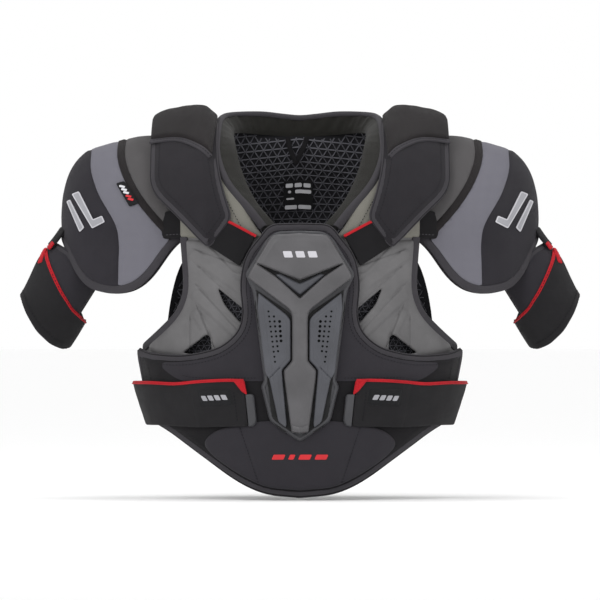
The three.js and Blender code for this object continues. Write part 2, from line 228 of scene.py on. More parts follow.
def resample(line, step):
    lengths = np.concatenate([[0], np.cumsum(np.linalg.norm(np.diff(line, axis=0), axis=1))])
    at = np.linspace(0, lengths[-1], max(2, int(round(lengths[-1] / step)) + 1))
    return np.stack([np.interp(at, lengths, line[:, k]) for k in range(line.shape[1])], axis=1)


def line_distance(px, py, line):
    """Distance from points to a dense line, and the side (positive on its left)."""
    best = np.full(px.shape, 1e9)
    side = np.zeros(px.shape)
    for (ax, ay), (bx, by) in zip(line[:-1], line[1:]):
        ex, ey = bx - ax, by - ay
        t = np.clip(((px - ax) * ex + (py - ay) * ey) / (ex * ex + ey * ey + 1e-12), 0, 1)
        dx, dy = px - ax - t * ex, py - ay - t * ey
        squared = dx * dx + dy * dy
        closer = squared < best
        best = np.where(closer, squared, best)
        side = np.where(closer, ex * dy - ey * dx, side)
    return np.sqrt(best), np.sign(side)


def signed_distance(px, py, line):
    """Distance from points to a dense line, positive on its left."""
    distance, left = line_distance(px, py, line)
    return distance * left


def inside(px, py, line):
    crossings = np.zeros(px.shape, int)
    for (ax, ay), (bx, by) in zip(line[:-1], line[1:]):
        spans = (ay > py) != (by > py)
        at = ax + (py - ay) * (bx - ax) / (by - ay if by != ay else 1e-12)
        crossings += spans & (px < at)
    return crossings % 2 == 1


def field(px, py, line):
    """Distance to a closed line, positive inside it."""
    distance = line_distance(px, py, line)[0]
    return np.where(inside(px, py, line), distance, -distance)


def smoothstep(value, low, high):
    t = np.clip((value - low) / (high - low), 0, 1)
    return t * t * (3 - 2 * t)


def rolled(distance, radius):
    """0 at an edge rising to 1 at radius inside it, round like a quarter circle."""
    return np.sqrt(1 - (1 - np.clip(distance / radius, 0, 1)) ** 2)


def wobble(u, v, seed, scale, octaves=3):
    """Smooth uneven relief of about -1 to 1."""
    total = np.zeros(np.shape(u))
    rng = np.random.default_rng(seed)
    for octave in range(octaves):
        for _ in range(4):
            angle = rng.uniform(0, 2 * math.pi)
            phase = rng.uniform(0, 2 * math.pi)
            wave = scale / 2 ** octave * rng.uniform(0.8, 1.3)
            along = u * math.cos(angle) + v * math.sin(angle)
            total += np.sin(along / wave * 2 * math.pi + phase) / 2 ** octave / 5
    return total


def normals_2d(line, closed):
    """Unit vectors to the left of a line."""
    if closed:
        tangent = np.roll(line, -1, axis=0) - np.roll(line, 1, axis=0)
    else:
        tangent = np.concatenate([line[1:], line[-1:]]) - np.concatenate([line[:1], line[:-1]])
    tangent /= np.maximum(np.linalg.norm(tangent, axis=1), TINY)[:, None]
    return np.stack([-tangent[:, 1], tangent[:, 0]], axis=1)


def turned_left(line):
    """Twice the area inside a closed line, positive where the inside is on its left."""
    ring = line[:-1]
    return np.sum(ring[:, 0] * np.roll(ring[:, 1], -1) - np.roll(ring[:, 0], -1) * ring[:, 1])


def left_inside(line):
    """A closed line turned so that its inside is on the left."""
    return line if turned_left(line) > 0 else line[::-1]


def toward_inside(line, outline):
    """An open line turned so that the inside of the outline is on its left."""
    middle = len(line) // 2
    probe = line[middle] + normals_2d(line, False)[middle] * 2.0
    return line if inside(probe[:1], probe[1:], outline)[0] else line[::-1]


def inset(line, distance):
    """A closed line moved inside itself by distance."""
    ring = line[:-1]
    moved = ring + normals_2d(ring, True) * math.copysign(1, turned_left(line)) * distance
    gap = line_distance(moved[:, 0], moved[:, 1], line)[0]
    moved = moved[gap > abs(distance) * 0.9]
    return np.concatenate([moved, moved[:1]])


def both(line_points):
    """A half outline from top middle to bottom middle, closed with its mirror image."""
    return list(line_points) + [(-p[0],) + tuple(p[1:]) for p in reversed(line_points)]


def path_of(points, offset, step=LINE_STEP):
    """An open front-view line as (u, v)."""
    return rounded(front(points, offset), step, closed=False)


def shape_of(points, offset, step=LINE_STEP):
    """A closed front-view outline as (u, v)."""
    return rounded(front(points, offset), step)


def groove(u, v, line, width, depth):
    return -depth * np.exp(-(line_distance(u, v, line)[0] / width) ** 2)


def flat(value):
    return lambda u, v, depth: value + 0 * u


def dome(base, rise, radius, lines=(), width=1.0, deep=0.0, uneven=None):
    """Offsets of a flat face with rolled edges, with grooves along lines and with unevenness, which is
    (height, seed, scale)."""
    def offsets(u, v, depth):
        height = base + rise * rolled(depth, radius)
        for line in lines:
            height = height + groove(u, v, line, width, deep)
        if uneven:
            height = height + uneven[0] * wobble(u, v, *uneven[1:])
        return height
    return offsets


def uneven_at(base, uneven):
    """Offsets on a surface with the unevenness that dome makes."""
    return lambda u, v: base + uneven[0] * wobble(u, v, *uneven[1:])


def cut(line):
    return lambda u, v: field(u, v, line)


# ---------------------------------------------------------------- mesh making
CUT_CLEAR = 0.06              # a cut stays this share of a cell's side away from its corners


def clip_grid(us, vs, values):
    """The grid's cells where values > 0, cut along values = 0: (u, v) points and faces."""
    rows, columns = values.shape
    points, faces = [], []
    corner_index, edge_index = {}, {}

    def corner(i, j):
        key = i * columns + j
        if key not in corner_index:
            corner_index[key] = len(points)
            points.append((us[i, j], vs[i, j]))
        return corner_index[key]

    def crossing(a, b):
        key = (a, b) if a < b else (b, a)
        if key not in edge_index:
            fa, fb = values[key[0]], values[key[1]]
            t = min(max(fa / (fa - fb), CUT_CLEAR), 1 - CUT_CLEAR)
            edge_index[key] = len(points)
            points.append(tuple(axis[key[0]] * (1 - t) + axis[key[1]] * t for axis in (us, vs)))
        return edge_index[key]

    positive = values > 0
    for i in range(rows - 1):
        for j in range(columns - 1):
            ring = ((i, j), (i + 1, j), (i + 1, j + 1), (i, j + 1))
            flags = [positive[c] for c in ring]
            if not any(flags):
                continue
            face = []
            for k in range(4):
                if flags[k]:
                    face.append(corner(*ring[k]))
                if flags[k] != flags[(k + 1) % 4]:
                    face.append(crossing(ring[k], ring[(k + 1) % 4]))
            if len(face) > 2:
                faces.append(face)
    return np.array(points), faces


def make_mesh(name, points, faces, side, sharp):
    """A smooth mesh object from points in millimetres, with its edges sharp where they turn by more than
    sharp degrees. side -1 mirrors it to the wearer's right."""
    name = name.replace(" ", "_")
    points = np.array(points, float) * MM
    points[:, 0] *= side
    mesh = bpy.data.meshes.new(name)
    mesh.from_pydata(points.tolist(), [], [list(f) for f in faces])
    mesh.validate()
    mesh.update()
    # Closed pieces face out: turn them round if their volume is negative.
    corners = np.array([[f[0], f[k], f[k + 1]] for f in faces for k in range(1, len(f) - 1)])
    a, b, c = points[corners[:, 0]], points[corners[:, 1]], points[corners[:, 2]]
    if np.einsum("ij,ij->i", a, np.cross(b, c)).sum() < 0:
        mesh.flip_normals()
    mesh.polygons.foreach_set("use_smooth", [True] * len(mesh.polygons))
    mesh.set_sharp_from_angle(angle=sharp * DEG)
    piece = bpy.data.objects.new(name, mesh)
    bpy.context.collection.objects.link(piece)
    return piece


def sheet_faces(faces, count, base=0):
    """Faces of a closed sheet: its upper side's points come first and its lower side's count later."""
    uses = {}
    for face in faces:
        for a, b in zip(face, face[1:] + face[:1]):
            key = (min(a, b), max(a, b))
            uses[key] = None if key in uses else (a, b)
    low = base + count
    return [[base + i for i in f] for f in faces] + [[low + i for i in reversed(f)] for f in faces] \
        + [[base + b, base + a, low + a, low + b] for a, b in filter(None, uses.values())]


FREE = {}                     # how far each vertex of a padded piece may swell, 0 to 1


def slab(name, mapping, grid, value, outer, inner, side=1, sharp=38, soft=None):
    """A closed piece cut from a grid. outer and inner give offsets from (u, v, distance to edge); soft
    tells where its outer side may swell."""
    points, faces = clip_grid(*grid, value(*grid))
    u, v = points[:, 0], points[:, 1]
    depth = np.maximum(value(u, v), 0)
    layers = np.concatenate([mapping(u, v, outer(u, v, depth)), mapping(u, v, inner(u, v, depth))])
    piece = make_mesh(name, layers, sheet_faces(faces, len(u)), side, sharp)
    if soft:
        FREE[piece.name] = np.concatenate([soft(u, v, depth), np.zeros(len(u))])
    return piece


def grid_for(line, step, margin=2.0):
    low, high = line.min(axis=0) - margin, line.max(axis=0) + margin
    return np.meshgrid(np.arange(low[0], high[0] + step, step), np.arange(low[1], high[1] + step, step),
                       indexing="ij")


def sweep(name, count, section, closed=False, side=1, sharp=50):
    """A tube through count rings: section(i) gives the points of ring i, in millimetres."""
    rings = [np.array(section(i)) for i in range(count)]
    size = len(rings[0])
    faces = []
    for i in range(count if closed else count - 1):
        ahead = (i + 1) % count * size
        for k in range(size):
            nearby = (k + 1) % size
            faces.append([i * size + k, i * size + nearby, ahead + nearby, ahead + k])
    if not closed:
        faces.append(list(range(size - 1, -1, -1)))
        faces.append([(count - 1) * size + k for k in range(size)])
    return make_mesh(name, np.concatenate(rings), faces, side, sharp)


ASIDE = 0.02                  # how far beside a line its surface is felt


def frames(mapping, line, offset, closed=False):
    """Along a line on a surface: points, forward, left and outward directions, as (n, 3) arrays."""
    u, v = line[:, 0], line[:, 1]
    aside = normals_2d(line, closed) * ASIDE
    lift = offset(u, v) if callable(offset) else offset
    here = mapping(u, v, lift)
    outward = mapping(u, v, lift + 1.0) - here
    left = mapping(u + aside[:, 0], v + aside[:, 1], lift) - here
    if closed:
        forward = np.roll(here, -1, axis=0) - np.roll(here, 1, axis=0)
    else:
        forward = np.concatenate([here[1:], here[-1:]]) - np.concatenate([here[:1], here[:-1]])
    forward /= np.maximum(np.linalg.norm(forward, axis=1), TINY)[:, None]
    left -= forward * np.sum(left * forward, axis=1)[:, None]
    left /= np.maximum(np.linalg.norm(left, axis=1), TINY)[:, None]
    normal = np.cross(forward, left)
    normal *= np.where(np.sum(normal * outward, axis=1) < 0, -1, 1)[:, None]
    return here, forward, left, normal


def tape(name, mapping, line, profile, offset, closed, side):
    """A strip swept along a line on a surface. profile lists (left, outward) points, in millimetres."""
    if closed and np.allclose(line[0], line[-1]):
        line = line[:-1]
    here, _, left, outward = frames(mapping, line, offset, closed)
    profile = np.array(profile, float)

    def section(i):
        return here[i] + profile[:, :1] * left[i] + profile[:, 1:] * outward[i]

    return sweep(name, len(line), section, closed, side)


def domed(width, height, shift):
    """Profile of a flat tape with round shoulders, its middle shift to the left of the line."""
    top = [(shift + width / 2 * k, height * (1 - abs(k) ** 6) ** 0.5) for k in np.linspace(1, -1, 13)]
    return top + [(shift - width / 2, -0.6), (shift + width / 2, -0.6)]


def wrapped(width, low, high):
    """Profile of a binding folded over an edge, open to the left, between two offsets."""
    return [(width, high - 0.7), (width - 0.3, high + 0.35), (width * 0.75, high + 0.7),
            (width * 0.4, high + 0.6), (1.2, high), (-0.5, high - 1.1), (-1.0, (low + high) / 2),
            (-0.5, low + 0.9), (1.2, low - 0.2), (width * 0.7, low - 0.6), (width, low)]


# A thread's corners, as shares of its length, width and height, and its faces.
STITCH = [(-0.5, 0, 0.0), (-0.32, -0.5, 0.5), (-0.32, 0.5, 0.5), (0.32, -0.5, 0.5), (0.32, 0.5, 0.5),
          (0.5, 0, 0.0), (0, 0, 1.0), (0, 0, -0.8)]
STITCH_SIZE = (2.5, 0.75, 0.5)
STITCH_PITCH = 3.6
STITCH_FACES = ((0, 1, 6), (0, 6, 2), (1, 3, 6), (2, 6, 4), (3, 5, 6), (4, 6, 5),
                (0, 7, 1), (0, 2, 7), (1, 7, 3), (2, 4, 7), (3, 7, 5), (4, 5, 7))


def stitches(name, mapping, line, offset, side):
    """A row of short threads along a line on a surface, all in one piece."""
    line = resample(np.array(line, float), STITCH_PITCH)
    here, forward, left, outward = frames(mapping, line, offset)
    points, faces = [], []
    for i in range(len(line) - 1):
        base = len(points)
        for along, across, high in np.array(STITCH) * STITCH_SIZE:
            points.append(here[i] + forward[i] * along + left[i] * across + outward[i] * high)
        faces.extend([base + k for k in f] for f in STITCH_FACES)
    return make_mesh(name, points, faces, side, 80)


def lattice(name, mapping, outline, side_length, width, height, margin, side=1):
    """A raised lattice of triangles inside an outline, on the inner side of a surface."""
    pitch = side_length * math.sqrt(3) / 2
    low, high = outline.min(axis=0), outline.max(axis=0)
    middle, reach = (low + high) / 2, np.linalg.norm(high - low) / 2 + 10
    points, faces = [], []
    for turn in (0, 60, 120):
        along = np.array([math.cos(turn * DEG), math.sin(turn * DEG)])
        across = np.array([-along[1], along[0]])
        count = int(reach / pitch) + 1
        for k in range(-count, count + 1):
            at = np.arange(-reach, reach, side_length / 3)
            line = middle + across * pitch * k + at[:, None] * along
            kept = field(line[:, 0], line[:, 1], outline) > margin
            starts = np.flatnonzero(np.diff(np.concatenate([[0], kept.astype(int)])) == 1)
            ends = np.flatnonzero(np.diff(np.concatenate([kept.astype(int), [0]])) == -1)
            for first, last in zip(starts, ends):
                if last - first < 2:
                    continue
                run = line[first:last + 1]
                base, size = len(points), len(run)
                for shift, rise in ((-width / 2, 0.4), (0.0, -height), (width / 2, 0.4)):
                    spot = run + across * shift
                    points.extend(mapping(spot[:, 0], spot[:, 1], rise))
                for i in range(size - 1):
                    for a, b in ((0, 1), (1, 2), (2, 0)):
                        first_point, next_point = base + a * size + i, base + b * size + i
                        faces.append([first_point, next_point, next_point + 1, first_point + 1])
                faces.append([base, base + size, base + 2 * size])
                faces.append([base + size - 1, base + 3 * size - 1, base + 2 * size - 1])
    return make_mesh(name, points, faces, side, 60)


# ---------------------------------------------------------------- materials
def tint(colour, factor):
    """An sRGB 0-255 colour times a factor, as linear RGBA."""
    value = np.minimum(255, np.array(colour, float) * factor) / 255
    low, high = value / 12.92, ((value + 0.055) / 1.055) ** 2.4
    return [float(c) for c in np.where(value <= 0.04045, low, high)] + [1.0]


class Finish:
    """A material built from a few node steps; scales are in repeats per metre."""

    def __init__(self, name, roughness, specular, sheen=0.0):
        self.material = bpy.data.materials.new(name)
        self.material.use_nodes = True
        self.tree = self.material.node_tree
        self.shader = self.tree.nodes["Principled BSDF"]
        self.shader.inputs["Roughness"].default_value = roughness
        self.shader.inputs["Specular IOR Level"].default_value = specular
        self.shader.inputs["Sheen Weight"].default_value = sheen
        self.shader.inputs["Sheen Roughness"].default_value = 0.45
        self.place = self.node("ShaderNodeTexCoord", {}).outputs["Object"]

    def node(self, kind, feeds, **settings):
        """A new node; feeds gives its sockets a number, a colour or the output that is linked to them."""
        made = self.tree.nodes.new(kind)
        for key, value in settings.items():
            setattr(made, key, value)
        for key, value in feeds.items():
            if isinstance(value, bpy.types.NodeSocket):
                self.tree.links.new(value, made.inputs[key])
            else:
                made.inputs[key].default_value = value
        return made

    def noise(self, scale, detail=3.0, rough=0.55):
        feeds = {"Vector": self.place, "Scale": scale, "Detail": detail, "Roughness": rough}
        return self.node("ShaderNodeTexNoise", feeds).outputs["Fac"]

    def waves(self, scale, direction, warp):
        feeds = {"Vector": self.place, "Scale": scale, "Distortion": warp}
        return self.node("ShaderNodeTexWave", feeds, bands_direction=direction).outputs["Fac"]

    def calc(self, operation, first, second):
        return self.node("ShaderNodeMath", {0: first, 1: second}, operation=operation).outputs[0]

    def weighed(self, first, first_share, second, second_share):
        """Two values added, each times its share."""
        return self.calc("ADD", self.calc("MULTIPLY", first, first_share),
                         self.calc("MULTIPLY", second, second_share))

    def spread(self, value, low, high):
        """value's middle range stretched to low..high."""
        feeds = {"Value": value, "From Min": 0.3, "From Max": 0.7, "To Min": low, "To Max": high}
        return self.node("ShaderNodeMapRange", feeds).outputs["Result"]

    def mixed(self, share, first, second):
        """Two colours mixed by share; a colour mix has them at its inputs 6 and 7 and its output 2."""
        feeds = {"Factor": share, 6: first, 7: second}
        return self.node("ShaderNodeMix", feeds, data_type="RGBA").outputs[2]

    def faded(self, colour, scale, detail, wear):
        """A colour that fades slowly between wear darker and wear lighter."""
        return self.mixed(self.spread(self.noise(scale, detail), 0.0, 1.0), tint(colour, 1 - wear),
                          tint(colour, 1 + wear))

    def finished(self, colour, roughness, height, distance):
        """Links the shader's colour, roughness and relief, and gives the material."""
        relief = self.node("ShaderNodeBump", {"Height": height, "Distance": distance, "Strength": 1.0})
        for socket, source in (("Base Color", colour), ("Roughness", roughness),
                               ("Normal", relief.outputs["Normal"])):
            self.tree.links.new(source, self.shader.inputs[socket])
        return self.material


def cloth(name, colour, weave, scale, wear, sheen=0.25, roughness=0.85, bump=0.00025):
    """Fabric: a fine weave that shows in colour and relief, with slow uneven fading."""
    finish = Finish(name, roughness, 0.12, sheen * 0.2)
    base = finish.faded(colour, 22.0, 4.0, wear)
    if weave == "knit":
        thread = finish.calc("MULTIPLY", finish.waves(scale, "X", 0.6), finish.waves(scale, "Z", 0.6))
    elif weave == "twill":
        thread = finish.waves(scale, "DIAGONAL", 0.3)
    elif weave == "rib":
        thread = finish.weighed(finish.waves(scale, "Z", 0.2), 0.7, finish.waves(scale * 0.6, "X", 0.4), 0.3)
    else:
        thread = finish.noise(scale * 3.5, 6.0, 0.75)
    fleck = finish.weighed(thread, 0.7, finish.noise(scale * 4, 2.0), 0.3)
    woven = finish.mixed(finish.spread(fleck, 0.0, 1.0), tint(colour, 0.84), base)
    uneven = finish.spread(finish.noise(60.0), roughness - 0.07, min(roughness + 0.07, 1.0))
    return finish.finished(woven, uneven, thread, bump)


def moulded(name, colour, roughness, grain=900.0, wear=0.07, bump=0.00012, specular=0.3):
    """Moulded foam or plastic: fine skin grain, and scuffs that are lighter."""
    finish = Finish(name, roughness, specular)
    base = finish.faded(colour, 30.0, 5.0, wear)
    scuff = finish.calc("GREATER_THAN", finish.noise(230.0, 8.0, 0.75), 0.69)
    scuffed = finish.mixed(scuff, base, tint(colour, 1.14))
    uneven = finish.spread(finish.noise(90.0, 4.0), roughness - 0.08, roughness + 0.1)
    return finish.finished(scuffed, uneven, finish.noise(grain, 4.0, 0.6), bump)


GREY = moulded("moulded grey foam", (91, 90, 91), 0.55)
PLATE = moulded("moulded grey plate", (77, 76, 78), 0.42, 1400.0, bump=0.00006)
VENT = moulded("vent grey plate", (68, 69, 74), 0.42, 1400.0, bump=0.00006)
RUBBER = moulded("dark rubber", (58, 58, 61), 0.5)
NEOPRENE = cloth("neoprene", (54, 52, 57), "knit", 520.0, 0.08)
NEOPRENE_DARK = cloth("neoprene, darker", (45, 43, 47), "knit", 520.0, 0.08)
BAND = cloth("flap band cloth", (39, 36, 37), "twill", 600.0, 0.1)
HOOK = cloth("loop fabric", (30, 29, 31), "loop", 260.0, 0.16, 0.35, 0.95, 0.0006)
BINDING = cloth("binding tape", (66, 64, 68), "rib", 700.0, 0.08)
WEBBING = cloth("webbing", (31, 30, 32), "rib", 480.0, 0.12, 0.15, 0.8, 0.0004)
ELASTIC = cloth("strap elastic", (40, 39, 41), "rib", 620.0, 0.1, 0.15, 0.8, 0.0004)
RED = cloth("red tape", (196, 34, 44), "rib", 700.0, 0.06, 0.1, 0.65, 0.0003)
CAP_LIGHT = cloth("cap mesh, light grey", (91, 89, 90), "knit", 260.0, 0.06, 0.15, 0.8, 0.0004)
CAP_BLUE = cloth("cap mesh, bluish grey", (121, 120, 129), "knit", 260.0, 0.06, 0.15, 0.8, 0.0004)
CAP_BLACK = cloth("cap cloth, black", (47, 45, 50), "twill", 700.0, 0.1)
GUARD = cloth("guard cloth", (52, 50, 55), "knit", 520.0, 0.1)
COLLAR = cloth("collar stretch cloth", (38, 37, 34), "knit", 700.0, 0.12, 0.4, 0.75, 0.0002)
COLLARBONE = cloth("collarbone cloth", (132, 130, 122), "knit", 600.0, 0.08, 0.2, 0.7, 0.0002)
LINER = cloth("liner cloth", (33, 33, 36), "loop", 240.0, 0.15, 0.2, 0.9, 0.0004)
RIDGE = cloth("liner ridges", (101, 101, 107), "rib", 800.0, 0.12, 0.1, 0.6, 0.0001)
THREAD = cloth("thread", (30, 29, 33), "rib", 1500.0, 0.1, 0.0, 0.7, 0.0001)
THREAD_LIGHT = cloth("thread, light", (84, 82, 86), "rib", 1500.0, 0.1, 0.0, 0.7, 0.0001)
# Near-black sheets behind the sternum's slit, holes and gaps: painted shade where those openings would be
# dark.
RECESS_SHADE = moulded("recess painted shade", (14, 14, 15), 0.7)
WHITE_PRINT = moulded("white print", (196, 196, 200), 0.6)
SILVER = moulded("silver print", (138, 138, 143), 0.35, 2000.0, 0.05, 0.00004, 0.6)
SILVER_EDGE = moulded("silver print edge", (176, 175, 180), 0.35, 2000.0, 0.05, 0.00004, 0.6)
RED_PRINT = moulded("red print", (190, 38, 44), 0.6)
LABEL_CLOTH = cloth("label cloth", (34, 34, 36), "twill", 900.0, 0.06)


# ---------------------------------------------------------------- dressed pieces
SAME = "same"                 # a piece that stands for the CAD node of its own name
MARK_SINK = 0.4               # how deep a printed mark reaches into its surface


def dress(piece, look, body, node=""):
    """Gives a piece its finish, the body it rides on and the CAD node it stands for."""
    piece.data.materials.append(look)
    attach(piece, body)
    if node:
        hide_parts(piece.name.split(".")[0] if node == SAME else node)
    return piece


def panel(name, mapping, line, step, top, low, look, body, node="", side=1, sharp=38,
          value=None):
    """A dressed slab inside a closed line, or where value is positive. top and low are offsets: a number,
    a function, or a tuple of what dome takes."""
    offsets = []
    for face in (top, low):
        if isinstance(face, tuple):
            offsets.append(dome(*face))
        else:
            offsets.append(face if callable(face) else flat(face))
    piece = slab(name, mapping, grid_for(line, step), value or cut(line), *offsets, side, sharp)
    return dress(piece, look, body, node)


def trim(name, mapping, line, profile, offset, look, body, side, closed=False):
    """A dressed tape."""
    return dress(tape(name, mapping, line, profile, offset, closed, side), look, body)


def sew(name, mapping, line, offset, body, side, look=THREAD):
    """A dressed row of stitches."""
    return dress(stitches(name, mapping, line, offset, side), look, body)


def print_marks(name, mapping, outlines, offset, look, body, side=1, thick=0.35, step=0.8):
    """Flat printed marks, each a closed outline on a surface, in one dressed piece."""
    points, faces = [], []
    for outline in outlines:
        grid = grid_for(outline, step, 1.0)
        spots, mark_faces = clip_grid(*grid, field(*grid, outline))
        u, v = spots[:, 0], spots[:, 1]
        lift = offset(u, v) if callable(offset) else offset + 0 * u
        faces.extend(sheet_faces(mark_faces, len(u), len(points)))
        points.extend(mapping(u, v, lift + thick))
        points.extend(mapping(u, v, lift - MARK_SINK))
    return dress(make_mesh(name, points, faces, side, 30), look, body)


def slanted(x, z, width, height, slant, corner):
    """The corners of a slanted bar whose upper left corner is (x, z)."""
    return [(x, z, corner), (x + width, z, corner), (x + width + slant, z - height, corner),
            (x + slant, z - height, corner)]


# ---------------------------------------------------------------- padding swelled as cloth
CLOTH_VOXEL = 5.0             # millimetres between the points of the copy that is simulated
CLOTH_PRESSURE = 4.0
CLOTH_STEPS = 20
CLOTH_NEIGHBOURS = 6          # how many points of the copy a point follows
CLOTH_NEAR = 0.0015           # metres added to every distance, so that no point is followed alone
CLOTH = {"quality": 4, "mass": 0.15, "tension_stiffness": 12, "compression_stiffness": 12,
         "shear_stiffness": 4, "bending_stiffness": 0.4, "use_pressure": True,
         "uniform_pressure_force": CLOTH_PRESSURE, "vertex_group_mass": "held"}


def coordinates(mesh):
    spots = np.empty(len(mesh.vertices) * 3)
    mesh.vertices.foreach_get("co", spots)
    return spots.reshape(-1, 3)


def tree_of(spots):
    tree = KDTree(len(spots))
    for i, spot in enumerate(spots):
        tree.insert(spot, i)
    tree.balance()
    return tree


def evaluated(piece):
    return piece.evaluated_get(bpy.context.evaluated_depsgraph_get())


def swelling(piece, most):
    """Simulates a padded piece as cloth under pressure, held at its seams and its inner side. Gives a
    function that tells how any points near it move, in metres."""
    rough = bpy.data.objects.new("rough", piece.data.copy())
    bpy.context.collection.objects.link(rough)
    remesh = rough.modifiers.new("remesh", "REMESH")
    remesh.mode = "VOXEL"
    remesh.voxel_size = CLOTH_VOXEL * MM
    sheet = bpy.data.meshes.new_from_object(evaluated(rough))
    bpy.data.objects.remove(rough)
    swelled = bpy.data.objects.new("cloth", sheet)
    bpy.context.collection.objects.link(swelled)
    before = coordinates(sheet)
    tree = tree_of(coordinates(piece.data))
    nearest = np.array([tree.find(spot)[1] for spot in before])
    group = swelled.vertex_groups.new(name="held")
    for i, held in enumerate(1 - FREE[piece.name][nearest]):
        group.add([i], float(held), "REPLACE")
    settings = swelled.modifiers.new("cloth", "CLOTH").settings
    for key, value in CLOTH.items():
        setattr(settings, key, value)
    settings.effector_weights.gravity = 0
    for step in range(1, CLOTH_STEPS + 1):
        bpy.context.scene.frame_set(step)
    moved = coordinates(evaluated(swelled).data) - before
    bpy.context.scene.frame_set(1)
    bpy.data.objects.remove(swelled)
    length = np.linalg.norm(moved, axis=1)[:, None]
    moved *= np.minimum(1, most * MM / np.maximum(length, TINY))
    rest = tree_of(before)

    def movement(spots):
        shift = np.zeros((len(spots), 3))
        for i, spot in enumerate(spots):
            found = rest.find_n(spot, CLOTH_NEIGHBOURS)
            weights = np.array([1 / (f[2] + CLOTH_NEAR) ** 2 for f in found])
            shift[i] = (moved[[f[1] for f in found]] * weights[:, None]).sum(axis=0) / weights.sum()
        return shift

    return movement


def puff(piece, most, followers=()):
    """Swells a padded piece, and what is sewn on it, as its cloth would, by most millimetres at most."""
    movement = swelling(piece, most)
    for other in (piece,) + tuple(followers):
        spots = coordinates(other.data)
        shift = movement(spots)
        if other is piece:
            shift *= np.minimum(FREE[piece.name] * 1.5, 1)[:, None]
        other.data.vertices.foreach_set("co", (spots + shift).ravel())
        other.data.update()


PINCH = 0.6                   # share of a binding's width under which its pad stays pinched
TAPE_RISE = 0.55              # height of stitches that lie on a binding


def bound_pad(name, mapping, line, levels, look, body, node, relief, side=1, step=2.0,
              tape_width=8.0, swell=14.0, rows=(1.8,), soft=None, most=5.0, followers=(), lift=0.0):
    """A padded panel with a binding folded over its edge and rows of stitches at gaps from the binding; a
    row with a negative gap lies on it. levels are offsets: the inner side, the pinched edge's outer side
    and the full height. soft tells where the panel swells, by most millimetres at most, and followers are
    the pieces sewn on it. lift raises the stitches beside the binding."""
    line = left_inside(line)
    low, edge, top = levels

    def sag(u, v):
        return relief(u, v, np.zeros(np.shape(u)))

    def pillow(depth):
        return edge + (top - edge) * rolled(np.maximum(depth - tape_width * PINCH, 0), swell)

    def give(u, v, depth):
        share = smoothstep(depth, tape_width + 3, tape_width + 16)
        return share * soft(u, v) if callable(soft) else share

    main = slab(name, mapping, grid_for(line, step), cut(line), lambda u, v, d: pillow(d) + relief(u, v, d),
                lambda u, v, d: low + sag(u, v), side, soft=give if soft else None)
    if soft:
        puff(main, most, followers)
    dress(main, look, body, node)
    trim(f"{name} binding", mapping, line, wrapped(tape_width, low - edge, 0.0),
         lambda u, v: edge + sag(u, v), BINDING, body, side, True)
    for count, gap in enumerate(rows):
        reach = tape_width + gap

        def rise(u, v, reach=reach, on_tape=gap < 0):
            if on_tape:
                return edge + TAPE_RISE + 0 * u
            depth = np.full(np.shape(u), reach)
            return pillow(depth) + lift + relief(u, v, depth)

        sew(f"{name} stitches {count + 1}", mapping, inset(line, reach), rise, body, side)


# ---------------------------------------------------------------- front harness
HARNESS_HALF = [(0, -97, 0), (34, -98, 10), (60, -132, 12), (66, -162, 14), (61, -208, 24), (83, -232, 24),
                (110, -240, 22), (136, -243, 20), (168, -240, 10), (180, -234, 3), (180, -243, 6),
                (171, -291, 30), (163, -316, 14), (145, -325.5, 14), (109, -352, 30), (67.5, -382, 24),
                (37, -394.5, 15), (0, -397.5, 8)]
HARNESS_TAPE = 8.5
HARNESS_PINCH = HARNESS_TAPE * PINCH
harness_line = shape_of(both(HARNESS_HALF), 28)


def harness_relief(u, v, depth):
    return 0.5 * wobble(u, v, 3, 70.0) * smoothstep(depth, 6, 20)


bound_pad("front harness pad", body_map, harness_line, (22.5, 26.2, 28.6), HOOK, "torso", SAME,
          harness_relief, rows=(1.8, -2.4), step=2.2, tape_width=HARNESS_TAPE, lift=0.8)

CHEST_INSERT = [(0, -104, 0), (30, -105, 10), (51, -134, 12), (57, -162, 14), (52, -212, 26), (80, -241, 24),
                (110, -249.5, 22), (136, -252, 10), (152, -252, 4), (143, -260, 6), (130, -268, 8),
                (0, -268, 0)]
insert_line = shape_of(both(CHEST_INSERT), 29)


def insert_value(u, v):
    return np.minimum(field(u, v, insert_line) + 2.5, field(u, v, harness_line) - 6.5)


def insert_top(u, v, depth):
    inner = np.maximum(field(u, v, harness_line) - HARNESS_PINCH, 0)
    return 27.0 + 2.4 * rolled(inner, 14.0) + harness_relief(u, v, inner + HARNESS_PINCH)


panel("chest insert", body_map, insert_line, 2.0, insert_top, 24.8, NEOPRENE, "torso",
      value=insert_value)
seam = path_of([(128, -264, 4), (120, -266, 6), (70, -266.5, 4), (46, -266.5)], 29)
for side_name, side in SIDES:
    sew(f"chest insert stitches {side_name}", body_map, seam, 29.2, "torso", side)

BELLY_HALF = [(0, -312, 0), (50, -314.5, 14), (92, -323, 14), (108, -338, 10), (96, -352.5, 10),
              (70, -371, 14), (38, -387, 14), (0, -390, 0)]
belly_line = shape_of(both(BELLY_HALF), 30)
BELLY_SEAMS = [path_of([(65.6, -320), (44.8, -386)], 30) * (k, 1) for k in (1, -1)]
BELLY_UNEVEN = (0.5, 5, 60.0)
belly = slab("belly panel", body_map, grid_for(belly_line, 2.0),
             lambda u, v: np.minimum(field(u, v, belly_line), field(u, v, harness_line) - 7.0),
             dome(29.6, 2.4, 5, BELLY_SEAMS, 1.6, 0.8, BELLY_UNEVEN), flat(27.4),
             soft=lambda u, v, d: smoothstep(d, 4, 14) * smoothstep(-v, 226, 240))
belly_thread_line = path_of([(65.6, -322), (44.8, -384)], 30)
belly_threads = [stitches(f"belly stitches {side_name}", body_map, belly_thread_line, 31.4, side)
                 for side_name, side in SIDES]
for thread in belly_threads:
    dress(thread, THREAD, "torso")
